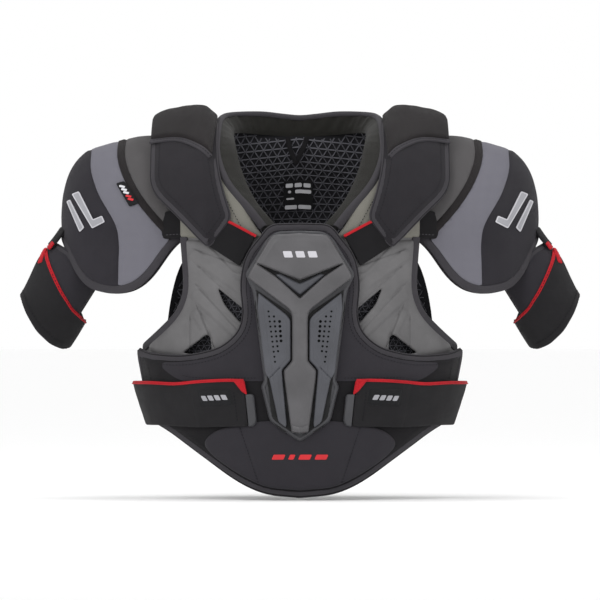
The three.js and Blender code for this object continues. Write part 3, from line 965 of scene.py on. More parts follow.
belly_marks = [shape_of(slanted(x + 1.2, -350.5, width, 5.5, -2.4, 0.8), 31, 1.0)
               for x, width in ((-30, 13), (-12, 6), (-1, 13), (17, 13))]
belly_print = print_marks("belly mark", body_map, belly_marks, uneven_at(31.95, BELLY_UNEVEN), RED_PRINT,
                          "torso")
puff(belly, 2.5, belly_threads + [belly_print])
dress(belly, NEOPRENE, "torso", SAME)


# ---------------------------------------------------------------- sternum plate
BASE_HALF = [(0, -105, 0), (25, -106, 5), (35.5, -112, 8), (60, -152, 5), (58, -158, 4), (51.8, -171, 5),
             (39.5, -269, 1.5), (43, -276, 3), (41, -283, 3), (33.4, -314, 5), (3, -335, 3), (0, -336, 0)]
base_line = shape_of(both(BASE_HALF), 34, 1.5)


def base_top(u, v, depth):
    rail = 1.4 * smoothstep(depth, 0.4, 1.6) * (1 - smoothstep(depth, 3.8, 5.0))
    return 32.6 + 2.0 * rolled(depth, 2.0) + rail * smoothstep(-v, 55, 62)


panel("sternum base", body_map, base_line, 1.2, base_top, 31.0, RUBBER, "torso", SAME,
      sharp=32)

SHELL_HALF = [(0, -107.8, 0), (29, -109.5, 5), (33.5, -114, 8), (54.5, -149, 6), (57.5, -156.5, 3),
              (10.5, -192, 5), (8.6, -200, 4), (8.6, -247.4, 1.5), (17.8, -258.3, 2), (17, -269, 2),
              (10, -321, 1), (9.4, -326, 1.5), (0, -327, 0)]
shell_line = shape_of(both(SHELL_HALF), 42, 1.2)
slit_line = shape_of([(0, -159.5, 2), (47, -141.2, 0.2), (26.5, -155, 3), (0, -179, 1.5), (-26.5, -155, 3),
                      (-47, -141.2, 0.2)], 42, 1.2)
crown_line = shape_of(both([(0, -113.5, 0), (27, -114.5, 5), (30, -117.5, 7), (50, -149.5, 4),
                            (45, -141, 0.5), (0, -158.6, 0)]), 42, 1.2)
tip_line = path_of([(-12, -317), (0, -321), (12, -317)], 42, 1.2)
CREST_WIDTH = ([70, 86, 137, 149, 160, 216], [40, 9, 8.6, 17.5, 17, 10])


def shell_top(u, v, depth):
    upper = smoothstep(field(u, v, crown_line), -1.0, 2.2) * 1.5
    spread = np.clip(np.abs(u) / np.interp(-v, *CREST_WIDTH), 0, 1)
    crest = smoothstep(-v, 70, 92) * 3.2 * (1 - spread ** 1.3)
    return 39.2 + 3.2 * rolled(depth, 2.2) + (upper + crest + groove(u, v, tip_line, 1.0, 0.8))


panel("sternum shell", body_map, shell_line, 0.9, shell_top, 37.0, PLATE, "torso", SAME,
      sharp=24, value=lambda u, v: np.minimum(field(u, v, shell_line), -field(u, v, slit_line)))

# The dark chevron seen through the slit, and the recess behind it: a near-black sheet that is painted shade
# behind the slit.
chevron_line = shape_of([(0, -163, 2), (22, -152, 1), (27, -153, 1), (25, -156, 1), (0, -176, 2),
                         (-25, -156, 1), (-27, -153, 1), (-22, -152, 1)], 40, 1.0)
panel("sternum chevron", body_map, chevron_line, 1.0, (36.4, 2.2, 3.0), 34.5, VENT, "torso",
      sharp=30)
recess_line = shape_of([(-49, -139, 1), (49, -139, 1), (30, -160, 2), (0, -183, 2), (-30, -160, 2)], 36, 1.5)
panel("sternum recess", body_map, recess_line, 1.5, 35.9, 34.0, RECESS_SHADE, "torso")

# Perforated side panels. Each hole is its x, its height and its radius.
HOLES = [(34.5 - 0.72 * k, -193.5 - 5.51 * k, 1.15) for k in range(11)]
HOLES += [(28.5 - 0.64 * k, -199 - 5.43 * k, 1.25) for k in range(8)]
HOLES += [(22.4 - 0.42 * k, -204.5 - 5.3 * k, 1.6) for k in range(5)]
vent_line = shape_of([(45.5, -173, 1.5), (14.2, -197.5, 4), (10.2, -203, 3), (10.0, -247, 2),
                      (19.6, -257.6, 2), (18.8, -268, 2), (14.5, -317, 2), (15.5, -321, 1.5), (23.6, -315, 3),
                      (33.5, -268, 2), (38, -262, 2), (46.5, -190, 4)], 39, 1.2)
vent_cut = path_of([(22, -255), (37.5, -271)], 39, 1.2)
inner_step = path_of([(40, -190), (29, -268)], 39, 1.2)


def vent_value(u, v):
    value = field(u, v, vent_line)
    for x, z, radius in HOLES:
        value = np.minimum(value, np.hypot(u - x, v - (z - YOKE)) - radius)
    return value


def vent_top(u, v, depth):
    edge = np.maximum(field(u, v, vent_line), 0)
    return 38.0 + 1.9 * rolled(edge, 1.8) + 0.4 * smoothstep(edge, 4.5, 5.5) \
        + groove(u, v, vent_cut, 0.7, 1.2) + groove(u, v, inner_step, 0.7, 0.5)


# The vents' holes and the gaps round them are backed by a near-black sheet: painted shade.
gap_line = shape_of([(49, -169, 2), (12, -194, 4), (7, -202, 3), (7, -249, 2), (16, -261, 2), (15, -268, 2),
                     (8.5, -325, 2), (17, -326, 2), (30, -315, 3), (36, -268, 2), (49.5, -190, 4)], 36, 1.5)
for side_name, side in SIDES:
    panel(f"sternum vent {side_name}", body_map, vent_line, 0.6, vent_top, 37.0, VENT, "torso", SAME,
          side, 32, vent_value)
    panel(f"sternum gap {side_name}", body_map, gap_line, 1.5, 35.6, 34.2, RECESS_SHADE, "torso",
          side=side)

# A small generic mark of three slanted bars on the plate.
marks = [shape_of(slanted(x, -127.5, 9.5, 7.0, 2.0, 0.5), 44, 0.8) for x in (-19, -5.5, 8)]
print_marks("sternum mark", body_map, marks, 43.75, SILVER_EDGE, "torso")


# ---------------------------------------------------------------- chest pads
CHEST = [(12, -113, 2), (30, -112, 3), (60, -112, 3), (128, -110, 3), (131.5, -116, 4), (128.5, -150, 20),
         (128, -172, 14), (136, -194, 24), (155, -213, 20), (173, -228, 8), (172, -240, 6), (166, -252, 8),
         (130, -262, 10), (12, -262, 2)]
ARMHOLE = [(131.5, -112, 3), (128.5, -150, 20), (128, -172, 14), (136, -194, 24), (155, -213, 20),
           (173, -229)]
chest_line = shape_of(CHEST, 17)
armhole_path = toward_inside(path_of(ARMHOLE, 15, 2.0), chest_line)
SLOTS = [shape_of(outline, 15, 1.2) for outline in (
    [(90, -168, 3), (61, -192, 3), (61, -207, 3), (66, -205, 3), (83, -186, 6)],
    [(128, -239, 2), (103, -219, 3), (98.5, -221, 3), (97, -236, 3), (104, -243, 3)])]
LEDGES = [path_of(p, 15, 2.0) for p in (
    [(109, -128), (71, -142)], [(110, -146), (61, -190)], [(113, -166), (68, -215)],
    [(108, -198), (98, -224)], [(112, -192), (97, -227)], [(121, -204), (121, -236)],
    [(100, -121), (73, -150), (64, -152)])]
RIBS = [(path_of(p, 15, 2.0), w) for p, w in (
    ([(116, -132), (62, -170)], 8.0), ([(113, -176), (70, -216), (64, -222)], 8.5),
    ([(114, -196), (104, -214), (112, -240)], 6.0))]


def outside_slots(u, v):
    return np.minimum(-field(u, v, SLOTS[0]), -field(u, v, SLOTS[1]))


def ledge(u, v, line):
    """A moulded step along a line: sharp on the line, fading away from it on its left."""
    across = signed_distance(u, v, line)
    face = smoothstep(across, -1.1, 1.1) * np.exp(-np.maximum(across, 0) / 9.0)
    return 1.5 * (face - 0.5 * np.exp(-(across / 1.6) ** 2))


def armhole_mound(u):
    return 3.5 * smoothstep(u, 120, 172)


def chest_top(u, v, depth):
    edge = np.maximum(field(u, v, chest_line), 0)
    height = 10.5 + 5.6 * rolled(np.maximum(edge - 5, 0), 16) + armhole_mound(u)
    height = height - 2.2 * (1 - rolled(np.maximum(outside_slots(u, v), 0), 3.0))
    for line, width in RIBS:
        distance = line_distance(u, v, line)[0]
        height = height + 1.4 * (1 - smoothstep(distance, width * 0.5, width))
    for line in LEDGES:
        height = height + ledge(u, v, line)
    return height


for side_name, side in SIDES:
    panel(f"chest pad {side_name}", body_map, chest_line, 0.9, chest_top,
          lambda u, v, d: 6.0 + armhole_mound(u) * 0.6, GREY, "torso", SAME, side, 34,
          lambda u, v: np.minimum(field(u, v, chest_line), outside_slots(u, v)))
    for number, slot_line in enumerate(SLOTS):
        dress(lattice(f"slot lattice {side_name} {number + 1}", lambda u, v, o: body_map(u, v, 3.6 - o),
                      slot_line, 7.0, 1.3, 1.0, -4.0, side), RIDGE, "torso")
    panel(f"chest liner {side_name}", body_map, chest_line, 3.0, 3.4, 0.0, LINER, "torso", SAME,
          side)
for side_name, side in SIDES:
    trim(f"armhole binding {side_name}", body_map, armhole_path, wrapped(9.0, -5.5, 1.2),
         lambda u, v: 10.5 + armhole_mound(u), BINDING, "torso", side)


# ---------------------------------------------------------------- shoulder arches, with the collarbone pads
arch_line = rounded([(38, -3, 3), (48, 8, 10), (64, 38, 30), (83, 74, 30), (93, 127, 30), (96, 185, 30),
                     (92, 257, 30), (90, 308, 30), (91.5, 359, 4), (121, 379, 5), (126, 308, 30),
                     (132, 257, 30), (136, 185, 30), (134, 127, 30), (132, 74, 20), (132, 30, 15),
                     (131.5, -3, 3)])
arch_seam = rounded([(64, 4, 3), (86, 44, 30), (103, 80, 30), (110, 127, 30), (112, 185, 30), (110, 257, 30),
                     (102, 350, 30)], closed=False)
arch_top = dome(10.0, 5.5, 14, [arch_seam], 1.4, 1.0, (0.35, 9, 40.0))
for side_name, side in SIDES:
    panel(f"shoulder arch {side_name}", body_map, arch_line, 2.2, arch_top, 6.0, COLLARBONE, "torso", SAME,
          side)
    sew(f"arch stitches {side_name}", body_map, arch_seam - (2.0, 0.0),
        lambda u, v: arch_top(u, v, np.full(np.shape(u), 10.0)), "torso", side)

# ---------------------------------------------------------------- clavicle straps
strap_line = shape_of([(78, -94.5, 1), (48, -110.5, 1), (66, -144, 1), (103, -120, 1)], 21, 1.5)
strap_edge = path_of([(78, -94.5), (48, -110.5)], 21, 1.5)
strap_fold = path_of([(79, -100), (97, -122)], 21, 1.5)
for side_name, side in SIDES:
    panel(f"clavicle strap {side_name}", body_map, strap_line, 1.8, (19.8, 2.0, 1.0, [strap_fold], 2.0, 0.5),
          18.9, WEBBING, "torso", SAME, side)
    trim(f"clavicle strap edge {side_name}", body_map, toward_inside(strap_edge, strap_line),
         wrapped(2.2, -1.4, 1.4), 20.6, RED, "torso", side)


# ---------------------------------------------------------------- shoulder flaps
FLAP_FRONT = [(164.5, 2, 5), (165.5, -60, 18), (101, -124, 7), (75.5, -90, 8), (86, -56, 30), (92.5, -22, 30)]
FLAP_REAR = [(92, 185, 20), (94, 232, 8), (150, 232, 8), (163, 185, 20)]
flap_line = rounded(front(FLAP_FRONT, 29) + FLAP_REAR, 2.2)
BAND_FRONT = front([(164.8, -4, 4), (134, -0.5, 14), (112, -9, 14), (97, -19, 3)], 33)
BAND_REAR = [(91.5, 150, 12), (91.5, 185, 12), (94, 224, 8), (150, 224, 8), (163, 185, 20)]
band_line = rounded(BAND_FRONT + BAND_REAR, 2.2)
band_edge = toward_inside(rounded(BAND_FRONT, 2.2, closed=False), band_line)


def neck_droop(u):
    """How much the flap sags towards the neck."""
    return -6.0 * smoothstep(106 - u, 0, 14)


def flap_relief(u, v, depth):
    return neck_droop(u) + 0.5 * wobble(u, v, 21, 55.0) * smoothstep(depth, 5, 20)


def drooping(offset):
    return lambda u, v, depth=0: offset + neck_droop(u)


def band_top(u, v, depth):
    crown = 9.5 * np.exp(-((u - 131) / 34) ** 4) * np.exp(-((v - 175) / 45) ** 2)
    crease = 0.5 * wobble(u, v, 31, 26.0) * smoothstep(v, 120, 170)
    return 32.6 + 2.6 * rolled(depth, 4.0) + crown + crease + neck_droop(u)


for side_name, side in SIDES:
    body = f"flap_{side_name}"
    band = slab(f"flap top band {side_name}", body_map, grid_for(band_line, 2.0), cut(band_line), band_top,
                drooping(31.4), side)
    band_trim = tape(f"flap band binding {side_name}", body_map, band_edge, domed(6.5, 1.3, -2.2),
                     drooping(32.4), False, side)
    band_thread = stitches(f"flap band stitches {side_name}", body_map,
                           band_edge - 2.4 * normals_2d(band_edge, False), drooping(33.75), side)
    bound_pad(f"clavicle flap {side_name}", body_map, flap_line, (24.5, 28.2, 31.6), NEOPRENE_DARK, body,
              SAME, flap_relief, side, swell=12.0, soft=True, most=4.0,
              followers=(band, band_trim, band_thread))
    dress(band, BAND, body, SAME)
    dress(band_trim, BINDING, body)
    dress(band_thread, THREAD, body)


# ---------------------------------------------------------------- shoulder caps
RX, RY, RZ = CAP_RADII
CAP_START, CAP_END, CAP_CROWN = -15, 195, 0.067     # where the cap's cloth ends, as u and v of cap_map
STRIPE_HALF = 4.2
CAP_ROLL = 2.4                # radius of the cap cloths' edges


def cap_view(x, z, offset):
    """The point on the front of the cap seen at (x, z), moved out by offset."""
    x, z = np.asarray(x, float), np.asarray(z, float)
    above = np.maximum(z - CAP_Z, 0)
    drop = np.maximum(CAP_Z - z, 0)
    turn, low = np.full(np.shape(x), 45.0), 1 - np.arcsin(np.clip(above / RZ, 0, 1)) * 2 / math.pi
    # The dome's exponent depends on the place, so the place is found by going round a few times.
    for _ in range(12):
        power = cap_power(turn, low)
        tilt = np.arcsin(np.clip(above / RZ, 0, 0.9999) ** (1 / power))
        low = 1 - tilt * 2 / math.pi
        reach = np.cos(tilt) ** power * (1 - drop * CAP_TAPER)
        sine = np.clip((x - CAP_X) / (RX * reach), -0.999, 0.999)
        turn = np.arcsin(sine) / DEG
    y = -RY * reach * np.sqrt(1 - sine ** 2)
    out = np.stack([(x - CAP_X) / RX ** 2, y / RY ** 2, above / RZ ** 2], axis=-1)
    out /= np.linalg.norm(out, axis=-1)[..., None]
    return np.stack([x, y, z + 0 * x], axis=-1) + out * np.asarray(offset + 0 * x)[..., None]


# Lines between the cap's cloths, running downward in the front view: their left is the outer side.
STRIPE = rounded([(196, 30), (197, 0, 20), (199, -22, 20), (191, -47, 20), (174, -75, 20), (151, -101, 20),
                  (128, -125)], 3.0, closed=False)
BOUNDARY = rounded([(232, 20), (232, -20, 20), (233, -36, 20), (224, -64, 20), (203, -97, 20),
                    (199.5, -118, 14), (200.5, -138, 20), (202, -200)], 3.0, closed=False)


def cap_grid(high_v, columns=72, rows=70):
    return np.meshgrid(np.linspace(-18, 198, columns), np.linspace(0.05, high_v, rows), indexing="ij")


def cap_limit(u, v, last=2.0):
    return np.minimum(np.minimum((last - v) * 45, (u - CAP_START) * 1.7),
                      np.minimum((CAP_END - u) * 1.7, (v - CAP_CROWN) * 120))


def cap_region(kind):
    """The distance field of one of the cap's four cloths."""
    def value(u, v):
        spot = cap_map(u, v, 0.0)
        stripe, boundary = (signed_distance(spot[..., 0], spot[..., 2], line) for line in (STRIPE, BOUNDARY))
        own = {"light": -stripe - STRIPE_HALF, "stripe": STRIPE_HALF - np.abs(stripe),
               "blue": np.minimum(stripe - STRIPE_HALF, -boundary), "black": boundary}
        return np.minimum(own[kind], cap_limit(u, v))
    return value


def cap_top(rise):
    def offsets(u, v, depth):
        spot = cap_map(u, v, 0.0)
        return rise + CAP_ROLL * 0.45 * (rolled(depth, CAP_ROLL) - 1) \
            + 0.55 * wobble(spot[..., 0], spot[..., 2] + spot[..., 1] * 0.5, 41, 60.0)
    return offsets


rim_u = np.concatenate([np.full(30, CAP_START), np.linspace(CAP_START, CAP_END, 140), np.full(30, CAP_END)])
rim_v = np.concatenate([np.linspace(0.55, 1.98, 30), np.full(140, 2.0), np.linspace(1.98, 0.55, 30)])
rim_path = np.stack([rim_u, rim_v], axis=1)
silver_bars = [rounded([(x, z, 0.6) for x, z in bar], 1.2) for bar in (
    [(252, -64), (244, -61), (228, -92), (218, -88), (215, -95), (229, -102)],
    [(258, -72), (254, -70), (238, -101), (243, -106)])]
silver_middles = [inset(left_inside(bar), 1.3) for bar in silver_bars]
for side_name, side in SIDES:
    body = f"cap_{side_name}"
    for kind, look, rise, node, fill in (("black", CAP_BLACK, 0.0, f"cap_shell_{side_name}", 0.9),
                                         ("light", CAP_LIGHT, 0.0, "", None),
                                         ("stripe", BAND, 0.5, "", None), ("blue", CAP_BLUE, 0.0, "", None)):
        dress(slab(f"cap {kind} {side_name}", cap_map, cap_grid(2.01), cap_region(kind), cap_top(rise),
                   flat(-7.0), side, 44), look, body, node)
    dress(slab(f"cap liner {side_name}", cap_map, cap_grid(1.51, 48, 40), lambda u, v: cap_limit(u, v, 1.5),
               flat(-9.5), dome(-12.5, -4.0, 8), side), LINER, body, SAME)
    trim(f"cap binding {side_name}", cap_map, rim_path, wrapped(8.0, 1.7, 7.2), -7.0, BINDING, body,
         side)
    print_marks(f"cap graphic {side_name}", cap_view, silver_middles, 0.95, SILVER, body, side)
    print_marks(f"cap graphic edge {side_name}", cap_view, silver_bars, 0.7, SILVER_EDGE, body,
                side)

# A small generic tag on the wearer's right cap.
tag = rounded([(202.5, -53, 0.8), (193.5, -50.5, 0.8), (177.5, -74.5, 0.8), (187.5, -78.5, 0.8)], 1.5)
print_marks("cap tag", cap_view, [tag], 1.0, LABEL_CLOTH, "cap_right", -1, 0.8)
tag_marks = []
for share in (0.18, 0.32, 0.46, 0.62, 0.76):
    x, z = 198 - 16 * share, -52 - 24 * share
    tag_marks.append(rounded([(x + 3, z + 1.6, 0.3), (x - 3, z + 0.1, 0.3), (x - 2, z - 2.0, 0.3),
                              (x + 4, z - 0.5, 0.3)], 0.8))
for kind, marks, look in (("light", tag_marks[:3], WHITE_PRINT), ("red", tag_marks[3:], RED_PRINT)):
    print_marks(f"cap tag {kind} marks", cap_view, marks, 1.9, look, "cap_right", -1, 0.25,
                0.6)


# ---------------------------------------------------------------- tethers between cap and chest
def tether_map(u, v, offset):
    """u is x and v the height; the strap slopes back from the chest to the cap's front edge."""
    y = -96 + 0.42 * (u - 126) - offset
    return np.stack([u + 0 * v, y + 0 * v, v + 0 * u], axis=-1)


tether_line = rounded([(120, -78, 1), (149, -84, 1), (155, -107, 2), (150, -114, 3), (126, -112, 3)], 2.0)
tether_seam = rounded([(124, -108, 2), (150, -109.5, 3)], 2.0, closed=False)
for side_name, side in SIDES:
    body = f"cap_{side_name}"
    panel(f"cap tether {side_name}", tether_map, tether_line, 2.0, (0.6, 1.2, 1.0), -0.6, WEBBING, body, SAME,
          side)
    sew(f"tether stitches {side_name}", tether_map, tether_seam, 1.85, body, side, THREAD_LIGHT)


# ---------------------------------------------------------------- upper-arm guards
ARM_MM = 0.65                 # millimetres of arm surface per degree
ARM_STEP = 4.0                # degrees between the points of a line round the arm


def guard_map(u, v, offset):
    """u is millimetres down the arm, v millimetres round it from its outer side towards the front."""
    u, turn = np.asarray(u, float), np.asarray(v, float) / ARM_MM
    loose = 4.5 * np.exp(-((u - 128) / 22) ** 2) * np.exp(-(turn / 50) ** 2)
    return arm_map(u, turn, offset + loose)


# Edges round the arm, as degrees and millimetres down the arm: the strap's two and the guard's top.
UPPER = np.array([[-115, 135], [-60, 128], [0, 112], [16, 113], [60, 132], [90, 145], [120, 155], [150, 158],
                  [180, 159], [200, 158]], float)
LOWER = np.array([[-115, 192], [-60, 182], [-20, 172], [0, 170], [30, 176], [60, 187], [90, 197], [120, 201],
                  [150, 199], [180, 192], [200, 188]], float)
GUARD_TOP = np.array([[-108, 107], [-78, 112], [-60, 103], [60, 103], [78, 108], [108, 108], [150, 112]],
                     float)


def arm_line(table, start, end, shift=0.0):
    """A smooth line round the arm between two angles, from a table, moved down the arm by shift."""
    at = np.arange(start, end + ARM_STEP / 2, ARM_STEP)
    values = np.interp(at, table[:, 0], table[:, 1])
    window = np.exp(-(np.arange(-3, 4) / 1.6) ** 2)
    values = np.convolve(np.pad(values, 3, mode="edge"), window / window.sum(), mode="valid")
    return np.stack([values + shift, at * ARM_MM], axis=1)


def closed_between(first, second, corner):
    """An outline from one line along the arm and back along another."""
    points = []
    for line in (first, second[::-1]):
        for i, (u, v) in enumerate(line):
            points.append((u, v, corner if i in (0, len(line) - 1) else 2.0))
    return rounded(points, 2.0)


guard_line = closed_between(arm_line(GUARD_TOP, -108, 152), arm_line(LOWER, -108, 152, -4.0), 7.0)
arm_strap_top = arm_line(UPPER, 15, 196)
arm_strap_line = closed_between(arm_strap_top, arm_line(LOWER, 15, 196), 2.5)
arm_seam = arm_line(LOWER, 20, 150, -9.0)
anchor_line = closed_between(arm_line(np.array([[198.0, 160], [264, 142]]), 200, 262),
                             arm_line(np.array([[198.0, 188], [264, 184]]), 200, 262), 3.0)
arm_tab_line = rounded([(114, 9, 1), (112, 14, 1), (129, 22, 1), (133, 17, 1)], 1.5)
link_line = rounded([(84, -8, 2), (84, 21, 2), (109, 19, 2), (109, -8, 2)], 2.0)
link_tab_line = rounded([(103, 13, 1), (104, 20, 1), (113, 20, 1), (112, 12, 1)], 1.2)


def guard_relief(u, v, depth):
    return 0.5 * wobble(u, v, 51, 40.0) * smoothstep(depth, 4, 14)


for side_name, side in SIDES:
    body, strap_body = f"guard_{side_name}", f"arm_strap_{side_name}"
    bound_pad(f"bicep guard {side_name}", guard_map, guard_line, (-5.0, -1.6, 1.4), GUARD, body,
              f"bicep_guard_shell_{side_name}", guard_relief, side, tape_width=7.0,
              swell=10.0, rows=(), most=2.5,
              soft=lambda u, v: smoothstep(-field(u, v, arm_strap_line), 3, 10))
    panel(f"bicep guard liner {side_name}", guard_map, guard_line, 3.0, -5.4, (-8.0, -4.5, 9), LINER, body,
          SAME, side, value=lambda u, v: field(u, v, guard_line) - 5)
    panel(f"bicep strap {side_name}", guard_map, arm_strap_line, 2.0,
          (2.8, 1.5, 1.2, [arm_seam], 1.2, 0.5, (0.4, 53, 45.0)), 2.0, ELASTIC, strap_body, SAME,
          side)
    trim(f"bicep strap red edge {side_name}", guard_map, toward_inside(arm_strap_top, arm_strap_line),
         wrapped(2.6, 1.6, 4.2), 0.2, RED, strap_body, side)
    sew(f"bicep strap stitches {side_name}", guard_map, arm_seam + (1.5, 0.0), 4.45, strap_body, side)
    # Name, outline, grid step, top and low offsets, finish, body, the CAD node and the slot.
    for name, line, step, top, low, look, rides, node, slot in (
            ("bicep strap anchor", anchor_line, 2.2, (3.2, 1.2, 1.2), 2.0, WEBBING, body, SAME, "webbing"),
            ("bicep pull tab", arm_tab_line, 1.2, (4.8, 1.0, 0.8), 4.6, RED, strap_body, SAME, "red_tape"),
            ("guard link", link_line, 2.0, (3.0, 1.2, 1.0), 1.8, WEBBING, body, SAME, "webbing"),
            ("guard link tab", link_tab_line, 1.2, (4.6, 1.0, 0.8), 4.0, RED, body, "", "red_tape")):
        panel(f"{name} {side_name}", guard_map, line, step, top, low, look, rides, node, side)


# ---------------------------------------------------------------- side straps
RING_MM = 2.8                 # millimetres of strap per degree round the torso
FOLD_END = (37 * RING_MM, 38.5 * RING_MM)           # where the folded front part of a side strap stops
STRAP_UNEVEN = (0.45, 61, 60.0)


def strap_map(u, v, offset):
    """u is millimetres round the torso from the front, v the height."""
    return ring_map(np.asarray(u, float) / RING_MM, v, offset)


def ring(points):
    """Points whose first number is in degrees, with that number in millimetres."""
    return [(p[0] * RING_MM,) + tuple(p[1:]) for p in points]


STRAP_TOP = ring([(16.4, -268.5), (22, -268, 12), (33, -269.5, 12), (45, -272.5, 12), (60, -271, 14),
                  (125, -272)])
STRAP_BOTTOM = ring([(16.4, -319.5), (40, -321, 14), (58, -319, 14), (125, -320)])
strap_outline = rounded(STRAP_TOP + STRAP_BOTTOM[::-1])
strap_top_line = toward_inside(rounded(STRAP_TOP, closed=False), strap_outline)
tip_outline = rounded(ring([(13.4, -284, 3), (16.3, -284, 1), (16.3, -320, 1), (14.3, -319.5, 3),
                            (13.2, -314, 3)]), 1.5)
side_tab_outline = rounded(ring([(15.4, -285.5, 1), (15.9, -269, 1), (20.2, -267.5, 1), (17.2, -281, 1)]),
                           1.2)
TAB_RIBS = [rounded([(15.9 * RING_MM + k * 1.9, -269.5), (15.7 * RING_MM + k * 1.2, -284 + k * 4.0)], 1.5,
                    closed=False) for k in range(4)]
side_anchor_outline = rounded(ring([(126, -271, 2), (138.5, -271, 2), (138.5, -321, 2), (126, -321, 2)]))
patch_outline = rounded(ring([(21, -278, 1), (34.5, -279.5, 1), (34.5, -298, 1), (21, -296, 1)]), 2.0)
side_strap_seam = rounded(ring([(20, -283), (20, -316)]), closed=False)
side_bars = [rounded(slanted(22.6 * RING_MM + 7.6 * k + 1.5, -285.0 - k * 0.4, 5.7, 5.5, -2.0, 0.5), 0.9)
             for k in range(4)]


def front_fold(u):
    return 1 - smoothstep(u, *FOLD_END)


def side_strap_top(u, v, depth):
    return 1.1 * front_fold(u) + dome(33.0, 1.2, 1.2, uneven=STRAP_UNEVEN)(u, v, depth)


for side_name, side in SIDES:
    body = f"side_strap_{side_name}"
    panel(f"side strap {side_name}", strap_map, strap_outline, 2.2, side_strap_top, 31.3, ELASTIC, body, SAME,
          side)
    trim(f"side strap red edge {side_name}", strap_map, strap_top_line, wrapped(2.4, -0.6, 2.8),
         lambda u, v: 0.9 * front_fold(u) + uneven_at(32.0, STRAP_UNEVEN)(u, v), RED, body, side)
    for name, line, step, top, low, look, rides, node, slot in (
            ("strap tip", tip_outline, 1.2, (33.6, 1.8, 1.6), 31.4, RUBBER, body, SAME, "rubber_grey"),
            ("pull tab", side_tab_outline, 1.0, (36.2, 1.3, 0.9, TAB_RIBS, 0.5, 0.6), 35.4, RED, body, SAME,
             "red_tape"),
            ("strap anchor", side_anchor_outline, 2.5, (33.4, 1.4, 1.2), 31.5, WEBBING, "torso", SAME,
             "webbing"),
            ("strap patch", patch_outline, 2.0, dome(35.35, 0.7, 0.8, uneven=STRAP_UNEVEN), 34.2, LABEL_CLOTH,
             body, "", "label_cloth")):
        panel(f"side {name} {side_name}", strap_map, line, step, top, low, look, rides, node,
              side)
    print_marks(f"side strap print {side_name}", strap_map, side_bars, uneven_at(36.1, STRAP_UNEVEN), SILVER,
                body, side, 0.3)
    sew(f"side strap stitches {side_name}", strap_map, side_strap_seam, 35.6, body, side)


# ---------------------------------------------------------------- back
BEND_V = 290.0                # above this the back's surface straightens towards the collar
bend_steps = np.arange(0.0, 121.0, 1.0)
lean = np.clip(39.0 * (1 - bend_steps / 46), 2.0, 39.0) * DEG
BEND_BACK = np.concatenate([[0], np.cumsum(np.sin(lean))[:-1]])
BEND_UP = np.concatenate([[0], np.cumsum(np.cos(lean))[:-1]])


def back_map(u, v, offset):
    """body_map for the back, whose top stands up towards the collar rather than over the shoulder."""
    u, v = np.asarray(u, float), np.asarray(v, float)
    above = np.maximum(BEND_V - v, 0)
    shift = np.stack([0 * above, -np.interp(above, bend_steps, BEND_BACK),
                      np.interp(above, bend_steps, BEND_UP)], axis=-1)
    return body_map(u, np.maximum(v, BEND_V), offset) + shift


liner_line = rounded(both([(0, 247, 0), (40, 243, 10), (72, 231, 8), (84, 236, 10), (87, 290, 20),
                           (88, 362, 20), (128, 392, 20), (143, 430, 30), (150, 490, 30), (142, 535, 30),
                           (131, 585, 14), (0, 587, 0)]), 3.0)
back_line = rounded(both([(0, 254, 0), (60, 246, 12), (82, 248, 12), (88, 290, 20), (90, 362, 20),
                          (130, 390, 20), (144, 430, 30), (151, 490, 30), (143, 535, 30), (131, 590, 14),
                          (0, 592, 0)]), 3.0)
seen_line = rounded(both([(0, 249, 0), (40, 245, 10), (70, 234, 8), (82, 240, 10), (84, 290, 20),
                          (85, 362, 20), (126, 394, 20), (141, 430, 30), (148, 480, 10), (146, 500, 4),
                          (0, 500, 0)]), 3.0)
plate_line = rounded([(20, 384, 8), (100, 384, 14), (121, 412, 14), (123, 450, 16), (96, 492, 12),
                      (20, 492, 8)], 2.2)
waist_line = rounded(both([(0, 498, 0), (158, 498, 8), (163, 530, 20), (149, 562, 20), (127, 590, 12),
                           (0, 591, 0)]), 3.0)
back_channels = [rounded([(k * 46, 330, 4), (k * 52, 400, 20), (k * 50, 490, 4)], 3.0, closed=False)
                 for k in (1, -1)]
PLATE_GROOVES = [rounded([(28, 396 + 24 * k, 4), (70, 402 + 22 * k, 12), (118, 396 + 20 * k, 4)],
                         closed=False) for k in range(1, 4)]


def back_relief(u, v, depth):
    return 0.7 * wobble(u, v, 71, 80.0) + sum(groove(u, v, line, 3.0, 1.6) for line in back_channels)


def waist_relief(u, v, depth):
    return 0.6 * wobble(u, v, 73, 60.0)


def back_soft(u, v):
    """The back pad swells where no plate, spine pad or waist pad lies on it."""
    clear_of_plates = smoothstep(-field(np.abs(u), v, plate_line), 2, 14)
    return clear_of_plates * smoothstep(np.abs(u), 20, 34) * smoothstep(490 - v, 0, 14)


panel("back liner", back_map, liner_line, 3.4, 3.2, 0.2, LINER, "torso", SAME)
bound_pad("back pad", back_map, back_line, (5.2, 10.0, 16.0), NEOPRENE, "torso", SAME,
          back_relief, step=3.2, swell=20.0, soft=back_soft, most=4.0)
dress(lattice("back liner lattice", back_map, seen_line, 10.2, 1.5, 1.1, 2.0), RIDGE, "torso")
bound_pad("back waist pad", body_map, waist_line, (19.0, 22.5, 27.5), HOOK, "torso", SAME,
          waist_relief, step=3.0, swell=16.0, soft=True, most=3.0)
for side_name, side in SIDES:
    panel(f"back plate {side_name}", body_map, plate_line, 2.0, (22.6, 4.2, 6.0, PLATE_GROOVES, 1.8, 1.6),
          18.0, GREY, "torso", SAME, side, 32)


def spine_map(u, v, offset):
    """u is x, v the height, offset the distance back from the middle of the torso."""
    return np.stack([u + 0 * v, offset + 0 * u, v + 0 * u], axis=-1)


spine_line = rounded([(-15, -103.5, 5), (15, -103.5, 5), (15, -234.5, 5), (-15, -234.5, 5)], 1.8)
SPINE_GROOVES = [rounded([(-13, -120 - 14 * k), (0, -126 - 14 * k, 2), (13, -120 - 14 * k)], 1.5,
                         closed=False) for k in range(8)]

